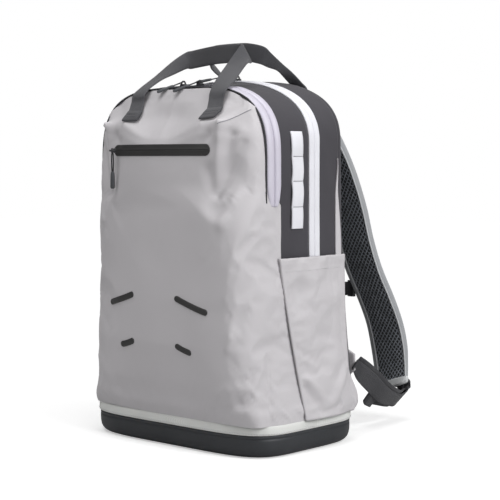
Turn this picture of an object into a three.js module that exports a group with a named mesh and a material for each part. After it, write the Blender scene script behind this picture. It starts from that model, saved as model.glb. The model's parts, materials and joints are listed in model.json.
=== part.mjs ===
// A tackle backpack: a moulded base tray, sewn fabric shell panels, an arched front compartment and main
// compartment closed by zips, side pockets, two carry handles and a pair of padded shoulder straps.
// Millimetres, +Z up. The origin is the centre of the tray's underside, +X is to the right seen from the
// front, -Y is the front and +Y is the side worn against the back. Fabric is drawn as thin closed sheets.
import * as THREE from 'three';

// ---- Driving dimensions ------------------------------------------------------------------------------
const BASE_HALF_WIDTH = 165;
const BASE_HALF_DEPTH = 110;
const BASE_SQUARENESS = 5;
const TRAY_HEIGHT = 30;
const TRAY_WALL = 3;
const TRAY_FLOOR = 4;
const BINDING_TOP = 42.5;
const SHELL_BOTTOM = 43;
const MAIN_FOLD_Z = 262;
const FRONT_FOLD_Z = 322;
const SHELL_TOP = 470.5;
const FABRIC = 1.6;
const WEBBING = 2;
const GAP = 0.4;
const FLARE_POWER = 3;
const BACK_SQUARENESS = 4.5;
const POCKET_RECESS = 14;
const POCKET_TOP = 253;
const POCKET_REAR_Y = 72;
const POCKET_FABRIC = 1.4;
const POCKET_ZIP_Z = 390.5;
const POCKET_ZIP_HALF_LENGTH = 91;
const POCKET_ZIP_WIDTH = 15;
const SLIDER_HEIGHT = 3.6;
const SLIDER_LIFT = 1.6;
const PULL_THICKNESS = 2.2;
const PULL_CLEARANCE = 1.5;
const PULL_LENGTH = 34;
const WEBBING_WIDTH = 25;
const HANDLE_HALF_SPAN = 72;
const STRAP_HALF_WIDTH = 31;
const STRAP_THICKNESS = 14;

// How the arch of the shell changes from front to back: y, half width, shoulder height, top, squareness.
const ARCH_STATIONS = [
  [-85, 150.5, 360, 471.5, 3.4],
  [-55, 152, 374, 476, 3],
  [0, 153, 398, 483, 2.35],
  [60, 152, 402, 486, 2.4],
];
// The front face on the centre line, from the binding up to the crease and over the slope: z, y.
const FRONT_PROFILE = [
  [43, -110], [90, -122], [140, -130.5], [200, -132], [300, -129], [390, -125.5],
  [421, -119], [437, -104.5], [449, -96], [458, -90], [466, -85.5], [471, -83.5],
];
// The back face on the centre line: z, y.
const BACK_PROFILE = [[43, 109], [100, 100], [200, 88], [325, 78.5], [486, 73]];

// Depth of the sewn bands, front to back.
const PANEL_REAR_Y = -82;
const FRONT_ZIP_Y = -67;
const FRONT_STRIP_REAR_Y = -55.5;
const LOWER_PANEL_REAR_Y = -30;
const MAIN_ZIP_FRONT_Y = 0;
const MAIN_ZIP_Y = 10;
const MAIN_ZIP_REAR_Y = 20;
const REAR_GUSSET_END_Y = 60;
const BACK_PANEL_START_Y = 61;

const COLOURS = {
  light_fabric: { color: 0xb4b1b3, roughness: 0.85, metalness: 0 },
  dark_fabric: { color: 0x4e4b52, roughness: 0.85, metalness: 0 },
  zip_cover: { color: 0xd7d5de, roughness: 0.7, metalness: 0 },
  white_webbing: { color: 0xe9e9ee, roughness: 0.75, metalness: 0 },
  dark_webbing: { color: 0x4a4a4d, roughness: 0.8, metalness: 0 },
  moulded_base: { color: 0x26282b, roughness: 0.6, metalness: 0 },
  black_trim: { color: 0x2b2b2e, roughness: 0.55, metalness: 0 },
  mesh_pad: { color: 0x1c1d20, roughness: 0.9, metalness: 0 },
  liner: { color: 0x8d8f92, roughness: 0.9, metalness: 0 },
};

const group = new THREE.Group();

function add(name, geometry, slot) {
  const mesh = new THREE.Mesh(geometry, new THREE.MeshStandardMaterial(COLOURS[slot]));
  mesh.name = name;
  group.add(mesh);
  return mesh;
}

// ---- Solids from points ------------------------------------------------------------------------------
// A closed solid from vertices and triangles, turned so that its faces point out.
function solid(vertices, faces) {
  const cross = new THREE.Vector3();
  let volume = 0;
  for (const [a, b, c] of faces) {
    volume += vertices[a].dot(cross.crossVectors(vertices[b], vertices[c]));
  }
  const outward = volume > 0 ? faces : faces.map(([a, b, c]) => [a, c, b]);
  const geometry = new THREE.BufferGeometry();
  geometry.setAttribute('position', new THREE.Float32BufferAttribute(vertices.flatMap((v) => v.toArray()), 3));
  geometry.setIndex(outward.flat());
  geometry.computeVertexNormals();
  return geometry;
}

// Two triangles for the quadrilateral a, b, c, d.
function quad(a, b, c, d) {
  return [[a, b, c], [a, c, d]];
}

// The direction out of a grid of points at row i, column j, away from a point inside the bag.
const INSIDE = new THREE.Vector3(0, -5, 200);
function outwardNormal(rows, i, j) {
  const up = rows[Math.min(i + 1, rows.length - 1)][j].clone().sub(rows[Math.max(i - 1, 0)][j]);
  const along = rows[i][Math.min(j + 1, rows[i].length - 1)].clone().sub(rows[i][Math.max(j - 1, 0)]);
  const normal = up.cross(along);
  if (rows[i][j].z <= SHELL_BOTTOM) {
    normal.z = 0;
  }
  normal.normalize();
  return normal.dot(rows[i][j].clone().sub(INSIDE)) < 0 ? normal.negate() : normal;
}

// A sheet of fabric: a grid of points given thickness, with its outer side `lift` beyond the points.
function sheet(rows, thickness, lift = 0) {
  const vertices = [];
  const columns = rows[0].length;
  const index = (side, i, j) => (side * rows.length + i) * columns + j;
  for (const depth of [lift, lift - thickness]) {
    rows.forEach((row, i) => row.forEach((point, j) => {
      vertices.push(point.clone().addScaledVector(outwardNormal(rows, i, j), depth));
    }));
  }
  const faces = [];
  for (let i = 0; i + 1 < rows.length; i += 1) {
    for (let j = 0; j + 1 < columns; j += 1) {
      faces.push(...quad(index(0, i, j), index(0, i, j + 1), index(0, i + 1, j + 1), index(0, i + 1, j)));
      faces.push(...quad(index(1, i, j), index(1, i + 1, j), index(1, i + 1, j + 1), index(1, i, j + 1)));
    }
  }
  const last = rows.length - 1;
  for (let j = 0; j + 1 < columns; j += 1) {
    faces.push(...quad(index(1, 0, j), index(1, 0, j + 1), index(0, 0, j + 1), index(0, 0, j)));
    faces.push(...quad(index(0, last, j), index(0, last, j + 1), index(1, last, j + 1), index(1, last, j)));
  }
  for (let i = 0; i < last; i += 1) {
    faces.push(...quad(index(0, i, 0), index(0, i + 1, 0), index(1, i + 1, 0), index(1, i, 0)));
    faces.push(...quad(index(1, i, columns - 1), index(1, i + 1, columns - 1),
      index(0, i + 1, columns - 1), index(0, i, columns - 1)));
  }
  return solid(vertices, faces);
}

// Closed loops of points joined in order. Ends are capped, or the last loop joins back to the first.
function loft(loops, joined = false) {
  const count = loops[0].length;
  const faces = [];
  const strips = joined ? loops.length : loops.length - 1;
  for (let i = 0; i < strips; i += 1) {
    const next = (i + 1) % loops.length;
    for (let j = 0; j < count; j += 1) {
      const k = (j + 1) % count;
      faces.push(...quad(i * count + j, i * count + k, next * count + k, next * count + j));
    }
  }
  if (!joined) {
    const top = (loops.length - 1) * count;
    for (let j = 1; j + 1 < count; j += 1) {
      faces.push([0, j + 1, j], [top, top + j, top + j + 1]);
    }
  }
  return solid(loops.flat(), faces);
}

// ---- The shape of the shell --------------------------------------------------------------------------
// The value at `at` of a line through [position, ...values] stations.
function along(stations, at) {
  const last = stations.length - 1;
  let k = 0;
  while (k < last - 1 && at > stations[k + 1][0]) {
    k += 1;
  }
  const share = (at - stations[k][0]) / (stations[k + 1][0] - stations[k][0]);
  return stations[k].slice(1).map((value, i) => value + (stations[k + 1][i + 1] - value) * share);
}

function baseHalfWidth(y) {
  return BASE_HALF_WIDTH * (1 - Math.abs(y / BASE_HALF_DEPTH) ** BASE_SQUARENESS) ** (1 / BASE_SQUARENESS);
}

// Half the width of the shell at depth y and height z.
function halfWidth(y, z) {
  const [width, shoulder, top, power] = along(ARCH_STATIONS, y);
  if (z > shoulder) {
    return width * (1 - ((z - shoulder) / (top - shoulder)) ** power) ** (1 / power);
  }
  const drop = (shoulder - z) / (shoulder - SHELL_BOTTOM);
  return width + (baseHalfWidth(y) - width) * drop ** FLARE_POWER;
}

// Behind a side pocket the wall stands back, which leaves the pocket its room. It is flush again at the rear.
function pocketRecess(y, z) {
  const foot = THREE.MathUtils.smoothstep(z, SHELL_BOTTOM + 3, SHELL_BOTTOM + 25);
  const mouth = 1 - THREE.MathUtils.smoothstep(z, 205, 245);
  const rear = THREE.MathUtils.clamp((REAR_GUSSET_END_Y - y) / (REAR_GUSSET_END_Y - MAIN_ZIP_REAR_Y), 0, 1);
  return POCKET_RECESS * foot * mouth * rear;
}

// The arch at depth y, from height `from` on the right, over the top and down to `from` on the left.
function archRow(y, from, recessed = false) {
  const [width, shoulder, top, power] = along(ARCH_STATIONS, y);
  const sideSteps = from < MAIN_FOLD_Z ? 8 : 3;
  const shoulderSteps = 9;
  const right = [];
  for (let k = 0; k < sideSteps; k += 1) {
    const z = from + ((shoulder - from) * k) / sideSteps;
    right.push([halfWidth(y, z) - (recessed ? pocketRecess(y, z) : 0), z]);
  }
  for (let k = 0; k < shoulderSteps; k += 1) {
    const angle = ((k / shoulderSteps) * Math.PI) / 2;
    right.push([
      width * Math.cos(angle) ** (2 / power),
      shoulder + (top - shoulder) * Math.sin(angle) ** (2 / power),
    ]);
  }
  const left = right.map(([x, z]) => [-x, z]).reverse();
  return [...right, [0, top], ...left].map(([x, z]) => new THREE.Vector3(x, y, z));
}

// A band of fabric over the arch between two depths.
function archBand(yFront, yRear, from, options = {}) {
  const { thickness = FABRIC, lift = 0, recessed = false } = options;
  return sheet([archRow(yFront, from, recessed), archRow(yRear, from, recessed)], thickness, lift);
}

// How square the front panel's plan outline is: a little squarer near the base.
function frontSquareness(z) {
  return 2.3 + 0.3 * THREE.MathUtils.clamp((200 - z) / 150, 0, 1);
}

// The plan outline of the front panel at height z, from its right rear edge round to its left rear edge.
function frontRow(z, rearY) {
  const cornerY = Math.min(rearY, PANEL_REAR_Y);
  const [front] = along(FRONT_PROFILE, z);
  const width = halfWidth(cornerY, z);
  const squareness = frontSquareness(z);
  const steps = 8;
  const right = [];
  if (rearY > cornerY) {
    for (const y of [rearY, (rearY + cornerY) / 2]) {
      right.push([halfWidth(y, z), y]);
    }
  }
  for (let k = 0; k < steps; k += 1) {
    const angle = ((k / steps) * Math.PI) / 2;
    right.push([
      width * Math.cos(angle) ** (2 / squareness),
      cornerY + (front - cornerY) * Math.sin(angle) ** (2 / squareness),
    ]);
  }
  const left = right.map(([x, y]) => [-x, y]).reverse();
  return [...right, [0, front], ...left].map(([x, y]) => new THREE.Vector3(x, y, z));
}

// The plan outline of the back panel at height z, from its right front edge round to its left one.
function backRow(z) {
  const edge = BACK_PANEL_START_Y;
  const [back] = along(BACK_PROFILE, z);
  const width = halfWidth(REAR_GUSSET_END_Y, z);
  const steps = 7;
  const right = [];
  for (let k = 0; k < steps; k += 1) {
    const angle = ((k / steps) * Math.PI) / 2;
    right.push([
      width * Math.cos(angle) ** (2 / BACK_SQUARENESS),
      edge + (back - edge) * Math.sin(angle) ** (2 / BACK_SQUARENESS),
    ]);
  }
  const left = right.map(([x, y]) => [-x, y]).reverse();
  return [...right, [0, back], ...left].map(([x, y]) => new THREE.Vector3(x, y, z));
}

// ---- The moulded base --------------------------------------------------------------------------------
function baseLoop(inset, z) {
  const steps = 48;
  const power = 2 / BASE_SQUARENESS;
  const loop = [];
  for (let k = 0; k < steps; k += 1) {
    const angle = (k / steps) * Math.PI * 2;
    const c = Math.cos(angle);
    const s = Math.sin(angle);
    loop.push(new THREE.Vector3(
      (BASE_HALF_WIDTH - inset) * Math.sign(c) * Math.abs(c) ** power,
      (BASE_HALF_DEPTH - inset) * Math.sign(s) * Math.abs(s) ** power,
      z,
    ));
  }
  return loop;
}

function baseTray() {
  return loft([
    baseLoop(12, 0), baseLoop(4, 3.5), baseLoop(0.5, 12), baseLoop(0, TRAY_HEIGHT),
    baseLoop(TRAY_WALL, TRAY_HEIGHT), baseLoop(TRAY_WALL + 2, 12), baseLoop(12, TRAY_FLOOR),
  ]);
}

function baseBinding() {
  const bottom = TRAY_HEIGHT + GAP;
  return loft([
    baseLoop(-0.5, bottom), baseLoop(-0.8, (bottom + BINDING_TOP) / 2), baseLoop(-0.2, BINDING_TOP),
    baseLoop(2.5, BINDING_TOP), baseLoop(2.5, bottom),
  ], true);
}

add('base_tray', baseTray(), 'moulded_base');
add('base_binding', baseBinding(), 'zip_cover');

// ---- Front panel, in the three stretches between its fold lines --------------------------------------
function levels(from, to, steps) {
  return Array.from({ length: steps + 1 }, (_, k) => from + ((to - from) * k) / steps);
}

function frontPanel(heights, rearY) {
  return sheet(heights.map((z) => frontRow(z, rearY)), FABRIC);
}

const upperHeights = [FRONT_FOLD_Z + GAP / 2, 345, 370, 395, 412, 421, 429, 437, 449, 458, 466, SHELL_TOP];
add('front_panel_lower',
  frontPanel(levels(SHELL_BOTTOM, MAIN_FOLD_Z - GAP / 2, 6), LOWER_PANEL_REAR_Y), 'light_fabric');
add('front_panel_middle',
  frontPanel(levels(MAIN_FOLD_Z + GAP / 2, FRONT_FOLD_Z - GAP / 2, 2), FRONT_STRIP_REAR_Y), 'light_fabric');
add('front_panel_upper', frontPanel(upperHeights, PANEL_REAR_Y), 'light_fabric');

// ---- Arched bands ------------------------------------------------------------------------------------
const frontStart = FRONT_FOLD_Z + GAP / 2;
const mainStart = MAIN_FOLD_Z + GAP / 2;
add('front_piping', archBand(-83.2, -80.2, frontStart, { thickness: 2, lift: 2.7 }), 'black_trim');
add('front_zip_tape_front', archBand(-79.8, FRONT_ZIP_Y - GAP / 2, frontStart), 'zip_cover');
add('front_zip_tape_rear', archBand(FRONT_ZIP_Y + GAP / 2, FRONT_STRIP_REAR_Y, frontStart), 'zip_cover');
add('front_gusset', archBand(FRONT_STRIP_REAR_Y + GAP, MAIN_ZIP_FRONT_Y - GAP, mainStart), 'dark_fabric');
add('main_zip_tape_front', archBand(MAIN_ZIP_FRONT_Y, MAIN_ZIP_Y - GAP / 2, mainStart), 'white_webbing');
add('main_zip_tape_rear', archBand(MAIN_ZIP_Y + GAP / 2, MAIN_ZIP_REAR_Y, mainStart), 'white_webbing');
add('rear_gusset', archBand(MAIN_ZIP_REAR_Y + GAP, REAR_GUSSET_END_Y, SHELL_BOTTOM, { recessed: true }),
  'dark_fabric');

// The side wall behind each pocket, below the end of the main zip.
function sideWall(side) {
  const heights = levels(SHELL_BOTTOM, MAIN_FOLD_Z - GAP / 2, 8);
  const recessStartY = -22;
  const depths = [LOWER_PANEL_REAR_Y + GAP, recessStartY, -8, MAIN_ZIP_REAR_Y];
  return sheet(heights.map((z) => depths.map((y) => {
    const recess = y > recessStartY ? pocketRecess(y, z) : 0;
    return new THREE.Vector3(side * (halfWidth(y, z) - recess), y, z);
  })), FABRIC);
}

// A patch pocket: it stands off the wall, widest near the bottom, open along its top edge.
function sidePocket(side) {
  const heights = levels(SHELL_BOTTOM + 1.5, POCKET_TOP, 8);
  const steps = 9;
  return sheet(heights.map((z) => {
    const height = (z - SHELL_BOTTOM) / (POCKET_TOP - SHELL_BOTTOM);
    const frontY = -12 - 35 * height ** 0.8;
    return Array.from({ length: steps + 1 }, (_, k) => {
      const share = k / steps;
      const y = frontY + (POCKET_REAR_Y - frontY) * share;
      const wall = halfWidth(Math.min(y, REAR_GUSSET_END_Y), z);
      const crown = Math.sin(Math.PI * Math.min(1, share * 1.15 + 0.02)) ** 0.5;
      const depth = 2.2 + 6 * (1 - height * 0.75) * Math.max(0, crown || 0);
      return new THREE.Vector3(side * (wall + depth), y, z);
    });
  }), POCKET_FABRIC);
}

// A length of webbing sewn down along the side of the gusset, in loops for clipping tools to.
function daisyChain(side) {
  const heights = levels(290, 414, 6);
  return sheet(heights.map((z) => [-34, -13].map((y) => (
    new THREE.Vector3(side * halfWidth(y, z), y, z)
  ))), 1.8, 2.3);
}

// A triangle of fabric at the lower rear corner that anchors the strap's webbing.
function wing(side) {
  const outline = [[30, 62], [30, 128], [-14, 104], [-14, 92]];
  const vertices = [];
  for (const y of [106, 109]) {
    for (const [inward, z] of outline) {
      vertices.push(new THREE.Vector3(side * (150 - inward), y - (z - 90) * 0.06, z));
    }
  }
  return loft([vertices.slice(0, 4), vertices.slice(4)]);
}

for (const [side, word] of [[1, 'right'], [-1, 'left']]) {
  add(`side_wall_${word}`, sideWall(side), 'dark_fabric');
  add(`side_pocket_${word}`, sidePocket(side), 'light_fabric');
  add(`daisy_chain_${word}`, daisyChain(side), 'white_webbing');
  add(`strap_wing_${word}`, wing(side), 'light_fabric');
}

// ---- Inside and back ---------------------------------------------------------------------------------
// A flat sheet across the bag at depth y, inset from the arch, between two heights.
function dividerSheet(y, from, to, inset) {
  const heights = levels(from, to, 8);
  const rows = heights.map((z) => {
    const x = halfWidth(y, z) - inset;
    return [new THREE.Vector3(-x, y, z), new THREE.Vector3(x, y, z)];
  });
  return sheet(rows, 1.2);
}

add('divider_lower', dividerSheet(-26, SHELL_BOTTOM + 1, MAIN_FOLD_Z - 1, 4), 'liner');
add('divider_upper', dividerSheet(-50, MAIN_FOLD_Z + 1, 458, 6), 'liner');
add('back_panel', sheet([...levels(SHELL_BOTTOM, 400, 6), 422, 440, 455, 466, 475, 482].map(backRow), FABRIC),
  'light_fabric');

function roundedPlate(width, height, thickness, radius) {
  const w = width / 2;
  const h = height / 2;
  const shape = new THREE.Shape();
  shape.absarc(w - radius, h - radius, radius, 0, Math.PI / 2);
  shape.absarc(-w + radius, h - radius, radius, Math.PI / 2, Math.PI);
  shape.absarc(-w + radius, -h + radius, radius, Math.PI, Math.PI * 1.5);
  shape.absarc(w - radius, -h + radius, radius, Math.PI * 1.5, Math.PI * 2);
  return new THREE.ExtrudeGeometry(shape, { depth: thickness, bevelEnabled: false, curveSegments: 4 });
}

const frameSheet = add('frame_sheet', roundedPlate(250, 380, 1.5, 25), 'liner');
frameSheet.rotation.x = Math.PI / 2;
frameSheet.position.set(0, 65, 250);

// A foam pad on the back panel, following the lean of the back.
function backPad(side) {
  const heights = levels(95, 400, 5);
  return sheet(heights.map((z) => [22, 58, 94].map((x) => {
    const [back] = along(BACK_PROFILE, z);
    return new THREE.Vector3(side * x, back + 0.6, z);
  })), 9, 9);
}

// ---- Trim on the front -------------------------------------------------------------------------------
// A point on the front panel's surface at x and height z, pushed out by `lift`.
function frontPoint(x, z, lift) {
  const [front] = along(FRONT_PROFILE, z);
  const width = halfWidth(PANEL_REAR_Y, z);
  const squareness = frontSquareness(z);
  const y = PANEL_REAR_Y + (front - PANEL_REAR_Y) * (1 - Math.abs(x / width) ** squareness) ** (1 / squareness);
  return new THREE.Vector3(x, y - lift, z);
}

// A flat strip welded on the front between two points, of the given height.
function frontStrip(start, end, height, lift = 1.6) {
  const steps = 8;
  const rows = [-1, 1].map((edge) => Array.from({ length: steps + 1 }, (_, k) => {
    const share = k / steps;
    const x = start[0] + (end[0] - start[0]) * share;
    const z = start[1] + (end[1] - start[1]) * share;
    return frontPoint(x, z + (edge * height) / 2, 0);
  }));
  return sheet(rows, 1, lift);
}

const pocketZipEnds = [-1, 1].map((side) => [side * POCKET_ZIP_HALF_LENGTH, POCKET_ZIP_Z]);
add('front_pocket_zip_tape', frontStrip(...pocketZipEnds, POCKET_ZIP_WIDTH), 'black_trim');
for (const [side, word] of [[1, 'right'], [-1, 'left']]) {
  add(`back_pad_${word}`, backPad(side), 'mesh_pad');
  add(`lash_bar_upper_${word}`, frontStrip([side * 40, 201.5], [side * 99, 185.5], 8), 'black_trim');
  add(`lash_bar_lower_${word}`, frontStrip([side * 40, 140], [side * 68, 132], 8), 'black_trim');
}

// ---- Zip sliders and their pulls ---------------------------------------------------------------------
// The slider's body lies along X with its underside at z = 0.
function sliderBody() {
  const shape = new THREE.Shape();
  shape.moveTo(-5, -3);
  shape.lineTo(4, -3.5);
  shape.lineTo(5.5, 0);
  shape.lineTo(4, 3.5);
  shape.lineTo(-5, 3);
  return new THREE.ExtrudeGeometry(shape, { depth: SLIDER_HEIGHT, bevelEnabled: false });
}

// A cord with a moulded grip, hanging from the origin along -Y, flat in the XY plane.
function pullTab(length) {
  const shape = new THREE.Shape();
  const neck = 1;
  const grip = 3;
  const gripStart = -length * 0.4;
  shape.moveTo(neck, 0);
  shape.lineTo(-neck, 0);
  shape.lineTo(-neck, gripStart);
  shape.lineTo(-grip, gripStart - 2);
  shape.absarc(0, -length + grip, grip, Math.PI, Math.PI * 2);
  shape.lineTo(grip, gripStart - 2);
  shape.lineTo(neck, gripStart);
  return new THREE.ExtrudeGeometry(shape, { depth: PULL_THICKNESS, bevelEnabled: false, curveSegments: 4 });
}

// A slider on the top of an arch, with its pull lying forward, leaning down and turned to one side.
function archSlider(name, x, y, leanDegrees, turnDegrees) {
  const [, , top] = along(ARCH_STATIONS, y);
  const slider = add(`${name}_slider`, sliderBody(), 'black_trim');
  slider.position.set(x, y, top + SLIDER_LIFT);
  slider.rotation.z = x > 0 ? 0 : Math.PI;
  const pull = add(`${name}_pull`, pullTab(PULL_LENGTH), 'black_trim');
  pull.rotation.order = 'ZXY';
  pull.rotation.set(THREE.MathUtils.degToRad(leanDegrees), 0, THREE.MathUtils.degToRad(turnDegrees));
  pull.position.set(x, y, top + SLIDER_LIFT + SLIDER_HEIGHT + PULL_CLEARANCE);
}

archSlider('front_zip_left', -8, FRONT_ZIP_Y, 8, -42);
archSlider('front_zip_right', 22, FRONT_ZIP_Y, 8, -42);
archSlider('main_zip_left', -12, MAIN_ZIP_Y, 0, -30);
archSlider('main_zip_right', 18, MAIN_ZIP_Y, 0, 30);

// The front pocket's slider, at the left end of its tape, turned to lie along the curve of the front.
const POCKET_SLIDER_X = -84;
const POCKET_SLIDER_LIFT = 2.9;
const FRONT_CURVE_RADIUS = 620;
const curveTurn = Math.asin(POCKET_SLIDER_X / FRONT_CURVE_RADIUS);
function onFrontPocketZip(name, geometry, outward, below) {
  const mesh = add(name, geometry, 'black_trim');
  const surface = frontPoint(POCKET_SLIDER_X, POCKET_ZIP_Z, POCKET_SLIDER_LIFT);
  mesh.rotation.order = 'ZXY';
  mesh.rotation.set(Math.PI / 2, 0, curveTurn);
  mesh.position.set(
    surface.x + outward * Math.sin(curveTurn),
    surface.y - outward * Math.cos(curveTurn),
    surface.z - below,
  );
}

onFrontPocketZip('front_pocket_slider', sliderBody(), 0, 0);
onFrontPocketZip('front_pocket_pull', pullTab(46), SLIDER_HEIGHT - PULL_THICKNESS, 5);

// ---- Carry handles -----------------------------------------------------------------------------------
// A flat loop of webbing in the XY plane, its legs at y = 0 and its grip at y = height.
function handleLoop(height, topHalf) {
  const half = WEBBING_WIDTH / 2;
  const outer = [
    [HANDLE_HALF_SPAN + half, 0], [HANDLE_HALF_SPAN + half - 3, height * 0.2],
    [topHalf + 22, height * 0.62], [topHalf + 6, height * 0.9], [topHalf - 8, height],
  ];
  const inner = [
    [HANDLE_HALF_SPAN - half, 0], [HANDLE_HALF_SPAN - half - 3, height * 0.2],
    [topHalf, height * 0.56], [topHalf - 12, height - WEBBING_WIDTH - 3], [topHalf - 22, height - WEBBING_WIDTH],
  ];
  const mirror = (points) => points.map(([x, y]) => [-x, y]);
  const outline = [...outer, ...mirror(outer).reverse(), ...mirror(inner), ...[...inner].reverse()];
  const shape = new THREE.Shape(outline.map(([x, y]) => new THREE.Vector2(x, y)));
  return new THREE.ExtrudeGeometry(shape, { depth: WEBBING, bevelEnabled: false });
}

// Stands a handle on its pivot line so that its grip comes to `apex`.
function standHandle(name, pivot, apex) {
  const height = Math.hypot(apex[0] - pivot[0], apex[1] - pivot[1]);
  const handle = add(name, handleLoop(height, 50), 'dark_webbing');
  handle.rotation.x = Math.atan2(apex[1] - pivot[1], apex[0] - pivot[0]);
  handle.position.set(0, pivot[0], pivot[1]);
}

standHandle('front_handle', [-86, 477], [-19, 527]);
standHandle('rear_handle', [82, 484.5], [18, 533]);

// ---- Shoulder straps ---------------------------------------------------------------------------------
// The bag side of the right strap along its middle: x, y, z.
const STRAP_PATH = [
  [58, 79, 458], [60, 108, 438], [62, 132, 407], [65, 153, 375], [70, 168, 338], [75, 178, 302],
  [80, 187, 260], [86, 200, 218], [91, 219, 180], [96, 235, 142], [100, 242, 111], [105, 245, 78], [106, 246, 62],
];
// The lower webbing from the wing to the strap's end: x, y, z.
const LOWER_WEBBING_PATH = [[160, 112, 98], [150, 140, 78], [139, 176, 50], [129, 208, 33], [118, 230, 30]];

// A strip of the given width along a path, its width along X, reaching from `near` to `far` off the path.
function strip(path, side, halfWidthX, near, far) {
  return loft(path.map(([x, y, z], i) => {
    const before = path[Math.max(i - 1, 0)];
    const after = path[Math.min(i + 1, path.length - 1)];
    const run = new THREE.Vector2(after[1] - before[1], after[2] - before[2]).normalize();
    const point = (offsetX, lift) => new THREE.Vector3(
      side * (x + offsetX), y - run.y * lift, z + run.x * lift,
    );
    return [point(-halfWidthX, near), point(halfWidthX, near), point(halfWidthX, far), point(-halfWidthX, far)];
  }));
}

function slottedLock() {
  const shape = new THREE.Shape([
    new THREE.Vector2(-16, -10), new THREE.Vector2(16, -10), new THREE.Vector2(16, 10), new THREE.Vector2(-16, 10),
  ]);
  for (const y of [-6.5, 2]) {
    const slot = new THREE.Path([
      new THREE.Vector2(-13, y), new THREE.Vector2(-13, y + 4), new THREE.Vector2(13, y + 4),
      new THREE.Vector2(13, y),
    ]);
    shape.holes.push(slot);
  }
  return new THREE.ExtrudeGeometry(shape, { depth: 3.5, bevelEnabled: false });
}

function strapSet(side, word) {
  add(`shoulder_strap_${word}`, strip(STRAP_PATH, side, STRAP_HALF_WIDTH, 0, STRAP_THICKNESS), 'light_fabric');
  add(`lower_webbing_${word}`, strip(LOWER_WEBBING_PATH, side, WEBBING_WIDTH / 2, 0, WEBBING), 'dark_webbing');
  const lock = add(`ladder_lock_${word}`, slottedLock(), 'black_trim');
  lock.rotation.x = THREE.MathUtils.degToRad(75);
  lock.position.set(side * 107, 254, 49.2);
  const tail = [[113, 243, 34], [118, 231, 23], [124, 215, 20], [131, 196, 26]];
  add(`strap_tail_${word}`, strip(tail, side, WEBBING_WIDTH / 2 - 1, 0, WEBBING), 'dark_webbing');
  const chest = new THREE.BoxGeometry(34, WEBBING, 20);
  chest.translate(side * (54 - 17), 218, 191);
  add(`sternum_webbing_${word}`, chest, 'dark_webbing');
  const buckle = roundedPlate(15, 24, 7, 3);
  buckle.rotateX(Math.PI / 2);
  buckle.translate(side * (54 - 34 - 8), 221.5, 191);
  add(`sternum_buckle_${word}`, buckle, 'black_trim');
}

strapSet(1, 'right');
strapSet(-1, 'left');

export default group;
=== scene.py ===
"""Looks of the tackle backpack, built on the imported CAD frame. Lengths are millimetres until the studio."""
import json
import math

import bpy
import numpy as np
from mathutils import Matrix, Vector, noise
from mathutils.bvhtree import BVHTree


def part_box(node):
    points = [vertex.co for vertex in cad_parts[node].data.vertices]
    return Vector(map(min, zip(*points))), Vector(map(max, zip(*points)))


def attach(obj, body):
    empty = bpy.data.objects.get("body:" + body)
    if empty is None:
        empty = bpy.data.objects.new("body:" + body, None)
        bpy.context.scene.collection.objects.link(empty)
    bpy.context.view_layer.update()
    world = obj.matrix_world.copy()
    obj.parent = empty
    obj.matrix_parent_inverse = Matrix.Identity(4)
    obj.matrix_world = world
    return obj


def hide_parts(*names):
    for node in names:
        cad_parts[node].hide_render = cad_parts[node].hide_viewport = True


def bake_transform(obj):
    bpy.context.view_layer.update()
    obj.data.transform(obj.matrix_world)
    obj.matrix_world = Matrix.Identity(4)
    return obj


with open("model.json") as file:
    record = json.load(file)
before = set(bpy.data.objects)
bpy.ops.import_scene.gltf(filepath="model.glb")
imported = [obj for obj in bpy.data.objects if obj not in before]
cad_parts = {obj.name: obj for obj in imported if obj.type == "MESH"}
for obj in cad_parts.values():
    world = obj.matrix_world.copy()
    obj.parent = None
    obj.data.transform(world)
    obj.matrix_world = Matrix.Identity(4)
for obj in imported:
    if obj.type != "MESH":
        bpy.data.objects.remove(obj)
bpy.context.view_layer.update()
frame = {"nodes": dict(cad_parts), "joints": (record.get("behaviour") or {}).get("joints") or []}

MM = 1000  # millimetres in a metre


# ---- Places taken from the frame -------------------------------------------------------------------
def lo(node):
    return np.array(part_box(node)[0]) * MM


def hi(node):
    return np.array(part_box(node)[1]) * MM


PIVOTS = {j["name"]: np.array(j["pos_m"]) * MM for j in frame["joints"] if "pos_m" in j}
BASE_HALF_WIDTH, BASE_HALF_DEPTH, TRAY_TOP = hi("base_tray")
BINDING_TOP = hi("base_binding")[2]
SHELL_BOTTOM = lo("front_panel_lower")[2]
SHELL_TOP = hi("front_panel_upper")[2]
MAIN_FOLD_Z = PIVOTS["main_flap_fold"][2]
FRONT_FOLD_Z = PIVOTS["front_flap_fold"][2]
PIPING_Y = lo("front_zip_tape_front")[1] - 1.8
FRONT_ZIP_Y = (hi("front_zip_tape_front")[1] + lo("front_zip_tape_rear")[1]) / 2
STRIP_REAR_Y = hi("front_zip_tape_rear")[1]
MAIN_ZIP_FRONT_Y = lo("main_zip_tape_front")[1]
MAIN_ZIP_Y = (hi("main_zip_tape_front")[1] + lo("main_zip_tape_rear")[1]) / 2
MAIN_ZIP_REAR_Y = hi("main_zip_tape_rear")[1]
REAR_SEAM_Y = hi("rear_gusset")[1]
_, POCKET_REAR_Y, POCKET_TOP = hi("side_pocket_right")
SIDES = ((1, "right"), (-1, "left"))

# The heights round the main opening's fold and the front compartment's fold.
MAIN_BEND = (MAIN_FOLD_Z - 57, MAIN_FOLD_Z + 36)
FRONT_BEND = (FRONT_FOLD_Z, FRONT_FOLD_Z + 38)
MAIN_FABRIC = (("bag", "main_flap"), *((0, 0, z) for z in MAIN_BEND))
FRONT_FABRIC = (("main_flap", "front_flap"), *((0, 0, z) for z in FRONT_BEND))
PANEL_SPLIT_Z = MAIN_BEND[1] + 4

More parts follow.
